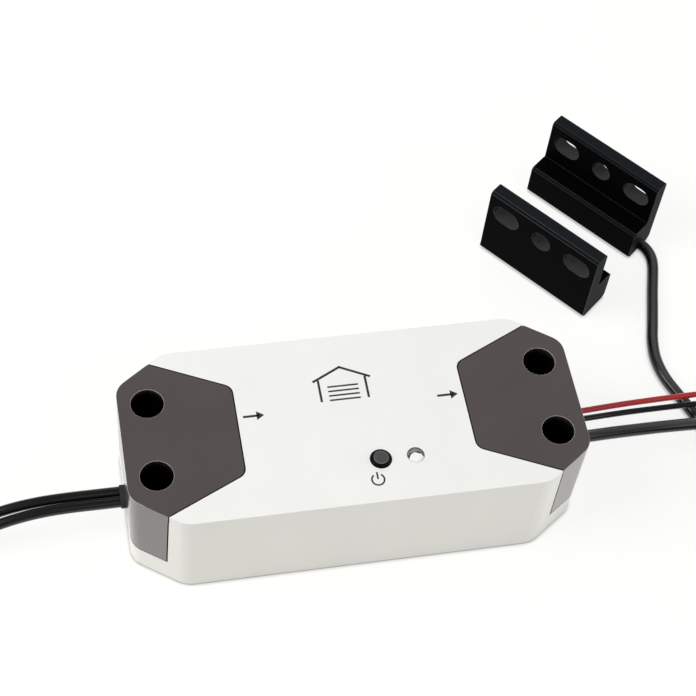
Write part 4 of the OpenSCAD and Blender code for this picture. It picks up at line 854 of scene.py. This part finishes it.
def garage():
    """Outlines of a garage: two walls, a roof with eaves, and the slats of its door."""
    left, right = GARAGE_X
    low, high = GARAGE_Y
    out, down = GARAGE_EAVES
    lap, rise = GARAGE_RIDGE
    ridge = (left + right) / 2
    slat_left, slat_right = left + SLAT_INSET, right - SLAT_INSET
    heights = [low + SLAT_FIRST + SLAT_PITCH * i for i in range(SLATS)]
    return [
        bar((left, low), (left, high), WALL_STROKE),
        bar((right, low), (right, high), WALL_STROKE),
        bar((left - out, high - down), (ridge + lap, high + rise), ROOF_STROKE),
        bar((right + out, high - down), (ridge - lap, high + rise), ROOF_STROKE),
    ] + [bar((slat_left, y), (slat_right, y), SLAT_STROKE) for y in heights]


def printed(name, outlines, ink):
    """A thin film of ink on the housing's top, from outlines."""
    sheet = bmesh.new()
    for outline in outlines:
        face = sheet.faces.new([sheet.verts.new((p[0], p[1], TOP_Z)) for p in outline])
        raised = bmesh.ops.extrude_face_region(sheet, geom=[face])["geom"]
        for vertex in (part for part in raised if isinstance(part, bmesh.types.BMVert)):
            vertex.co.z += INK_T
    bmesh.ops.recalc_face_normals(sheet, faces=sheet.faces)
    bmesh.ops.scale(sheet, vec=(MM, MM, MM), verts=sheet.verts)
    mesh = bpy.data.meshes.new(name)
    sheet.to_mesh(mesh)
    sheet.free()
    mesh.materials.append(ink)
    mark = bpy.data.objects.new(name, mesh)
    bpy.context.scene.collection.objects.link(mark)
    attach(mark, UNIT)


def make_signs():
    """Generic signs: power by the button, arrows for the way in and out, and a garage."""
    ink = printing_ink()
    x, y = ARROW_AT
    start, end = (POWER_AT + Vector((0, up)) for up in POWER_BAR)
    printed("print_power_sign", [
        arc(POWER_AT, POWER_R, POWER_STROKE, *POWER_ARC), bar(start, end, POWER_STROKE),
    ], ink)
    printed("print_arrow_in", arrow(-x, y), ink)
    printed("print_arrow_out", arrow(x, y), ink)
    printed("print_garage_sign", garage(), ink)


# Floor, light and background, in metres

FLOOR_HALF = 3
FLOOR_DROP = 0.02 * MM
PAPER_GLOW = 0.7
SEEN_GLOW = 1.2
MIRRORED_GLOW = 0.5
CONTACT_REACH = 0.9 * MM
CONTACT_LIGHT = 0.55
CONTACT_OPEN = (0.45, 0.95)
ROOM_LIGHT = 0.34
LIT_AT = Vector((0.02, 0.02, 0))
SOFT_BOXES = [
    ("key", (-0.8, 0.0, 0.75), 0.7, 9.0),
    ("fill", (0.35, -0.75, 0.75), 0.7, 2.9),
    ("back", (0.25, 1.0, 0.5), 0.5, 2.0),
    ("right", (0.95, -0.15, 0.25), 0.5, 2.4),
]


def white_paper():
    """Matt white paper: near white, with a soft shadow, and a painted shadow where pieces stand.
    """
    material = bpy.data.materials.new("paper_white")
    material.use_nodes = True
    tree = material.node_tree
    tree.nodes.clear()
    path = add(tree, "ShaderNodeLightPath")
    seen = add(tree, "ShaderNodeMath", {
        0: path.outputs["Is Camera Ray"], 1: path.outputs["Is Glossy Ray"],
    }, operation="MAXIMUM")
    seen = add(tree, "ShaderNodeMath", {
        0: seen.outputs[0], 1: path.outputs["Is Transmission Ray"],
    }, operation="MAXIMUM")
    share = add(tree, "ShaderNodeMath", {
        0: seen.outputs[0], 1: PAPER_GLOW,
    }, operation="MULTIPLY")
    bright = add(tree, "ShaderNodeMath", {
        0: path.outputs["Is Glossy Ray"], 1: MIRRORED_GLOW, 2: SEEN_GLOW,
    }, operation="MULTIPLY_ADD")
    # Painted shadow: ambient occlusion dims the glow where a piece stands on the paper.
    foot = add(tree, "ShaderNodeAmbientOcclusion", {"Distance": CONTACT_REACH}, samples=AO_SAMPLES)
    touch = add(tree, "ShaderNodeMapRange", {
        "Value": foot.outputs["AO"], "From Min": CONTACT_OPEN[0], "From Max": CONTACT_OPEN[1],
        "To Min": CONTACT_LIGHT,
    })
    glare_with_painted_shadow = add(tree, "ShaderNodeMath", {
        0: bright.outputs[0], 1: touch.outputs["Result"],
    }, operation="MULTIPLY")
    paper = add(tree, "ShaderNodeBsdfDiffuse", {"Color": linear("#cdcabf")})
    glow = add(tree, "ShaderNodeEmission", {
        "Color": linear("#ffffff"), "Strength": glare_with_painted_shadow.outputs[0],
    })
    mix = add(tree, "ShaderNodeMixShader", {
        0: share.outputs[0], 1: paper.outputs[0], 2: glow.outputs[0],
    })
    add(tree, "ShaderNodeOutputMaterial", {"Surface": mix.outputs[0]})
    return material


def make_floor():
    """A plain pale floor, just under the object."""
    half = FLOOR_HALF
    mesh = bpy.data.meshes.new("floor")
    mesh.from_pydata(
        [(-half, -half, 0), (half, -half, 0), (half, half, 0), (-half, half, 0)],
        [], [(0, 1, 2, 3)],
    )
    mesh.materials.append(white_paper())
    floor = bpy.data.objects.new("floor", mesh)
    floor.location.z = -FLOOR_DROP
    bpy.context.scene.collection.objects.link(floor)


def soft_box(name, at, size, watts):
    """A square soft box that faces the object."""
    data = bpy.data.lights.new(name, "AREA")
    data.shape = "SQUARE"
    data.size = size
    data.energy = watts
    lamp = bpy.data.objects.new(name, data)
    lamp.location = at
    lamp.rotation_euler = (LIT_AT - Vector(at)).to_track_quat("-Z", "Y").to_euler()
    bpy.context.scene.collection.objects.link(lamp)


def make_light():
    """Even light from a pale room, and soft boxes at the left, in front, behind and right."""
    world = bpy.data.worlds.new("studio")
    bpy.context.scene.world = world
    world.use_nodes = True
    tree = world.node_tree
    tree.nodes.clear()
    room = add(tree, "ShaderNodeBackground", {
        "Color": linear("#ffffff"), "Strength": ROOM_LIGHT,
    })
    add(tree, "ShaderNodeOutputWorld", {"Surface": room.outputs[0]})
    for name, at, size, watts in SOFT_BOXES:
        soft_box(name, at, size, watts)


make_camera()
make_wires()
make_lead()
finish_cad()
soften_mouldings()
make_signs()
make_floor()
make_light()
bpy.context.scene.view_settings.view_transform = "Standard"
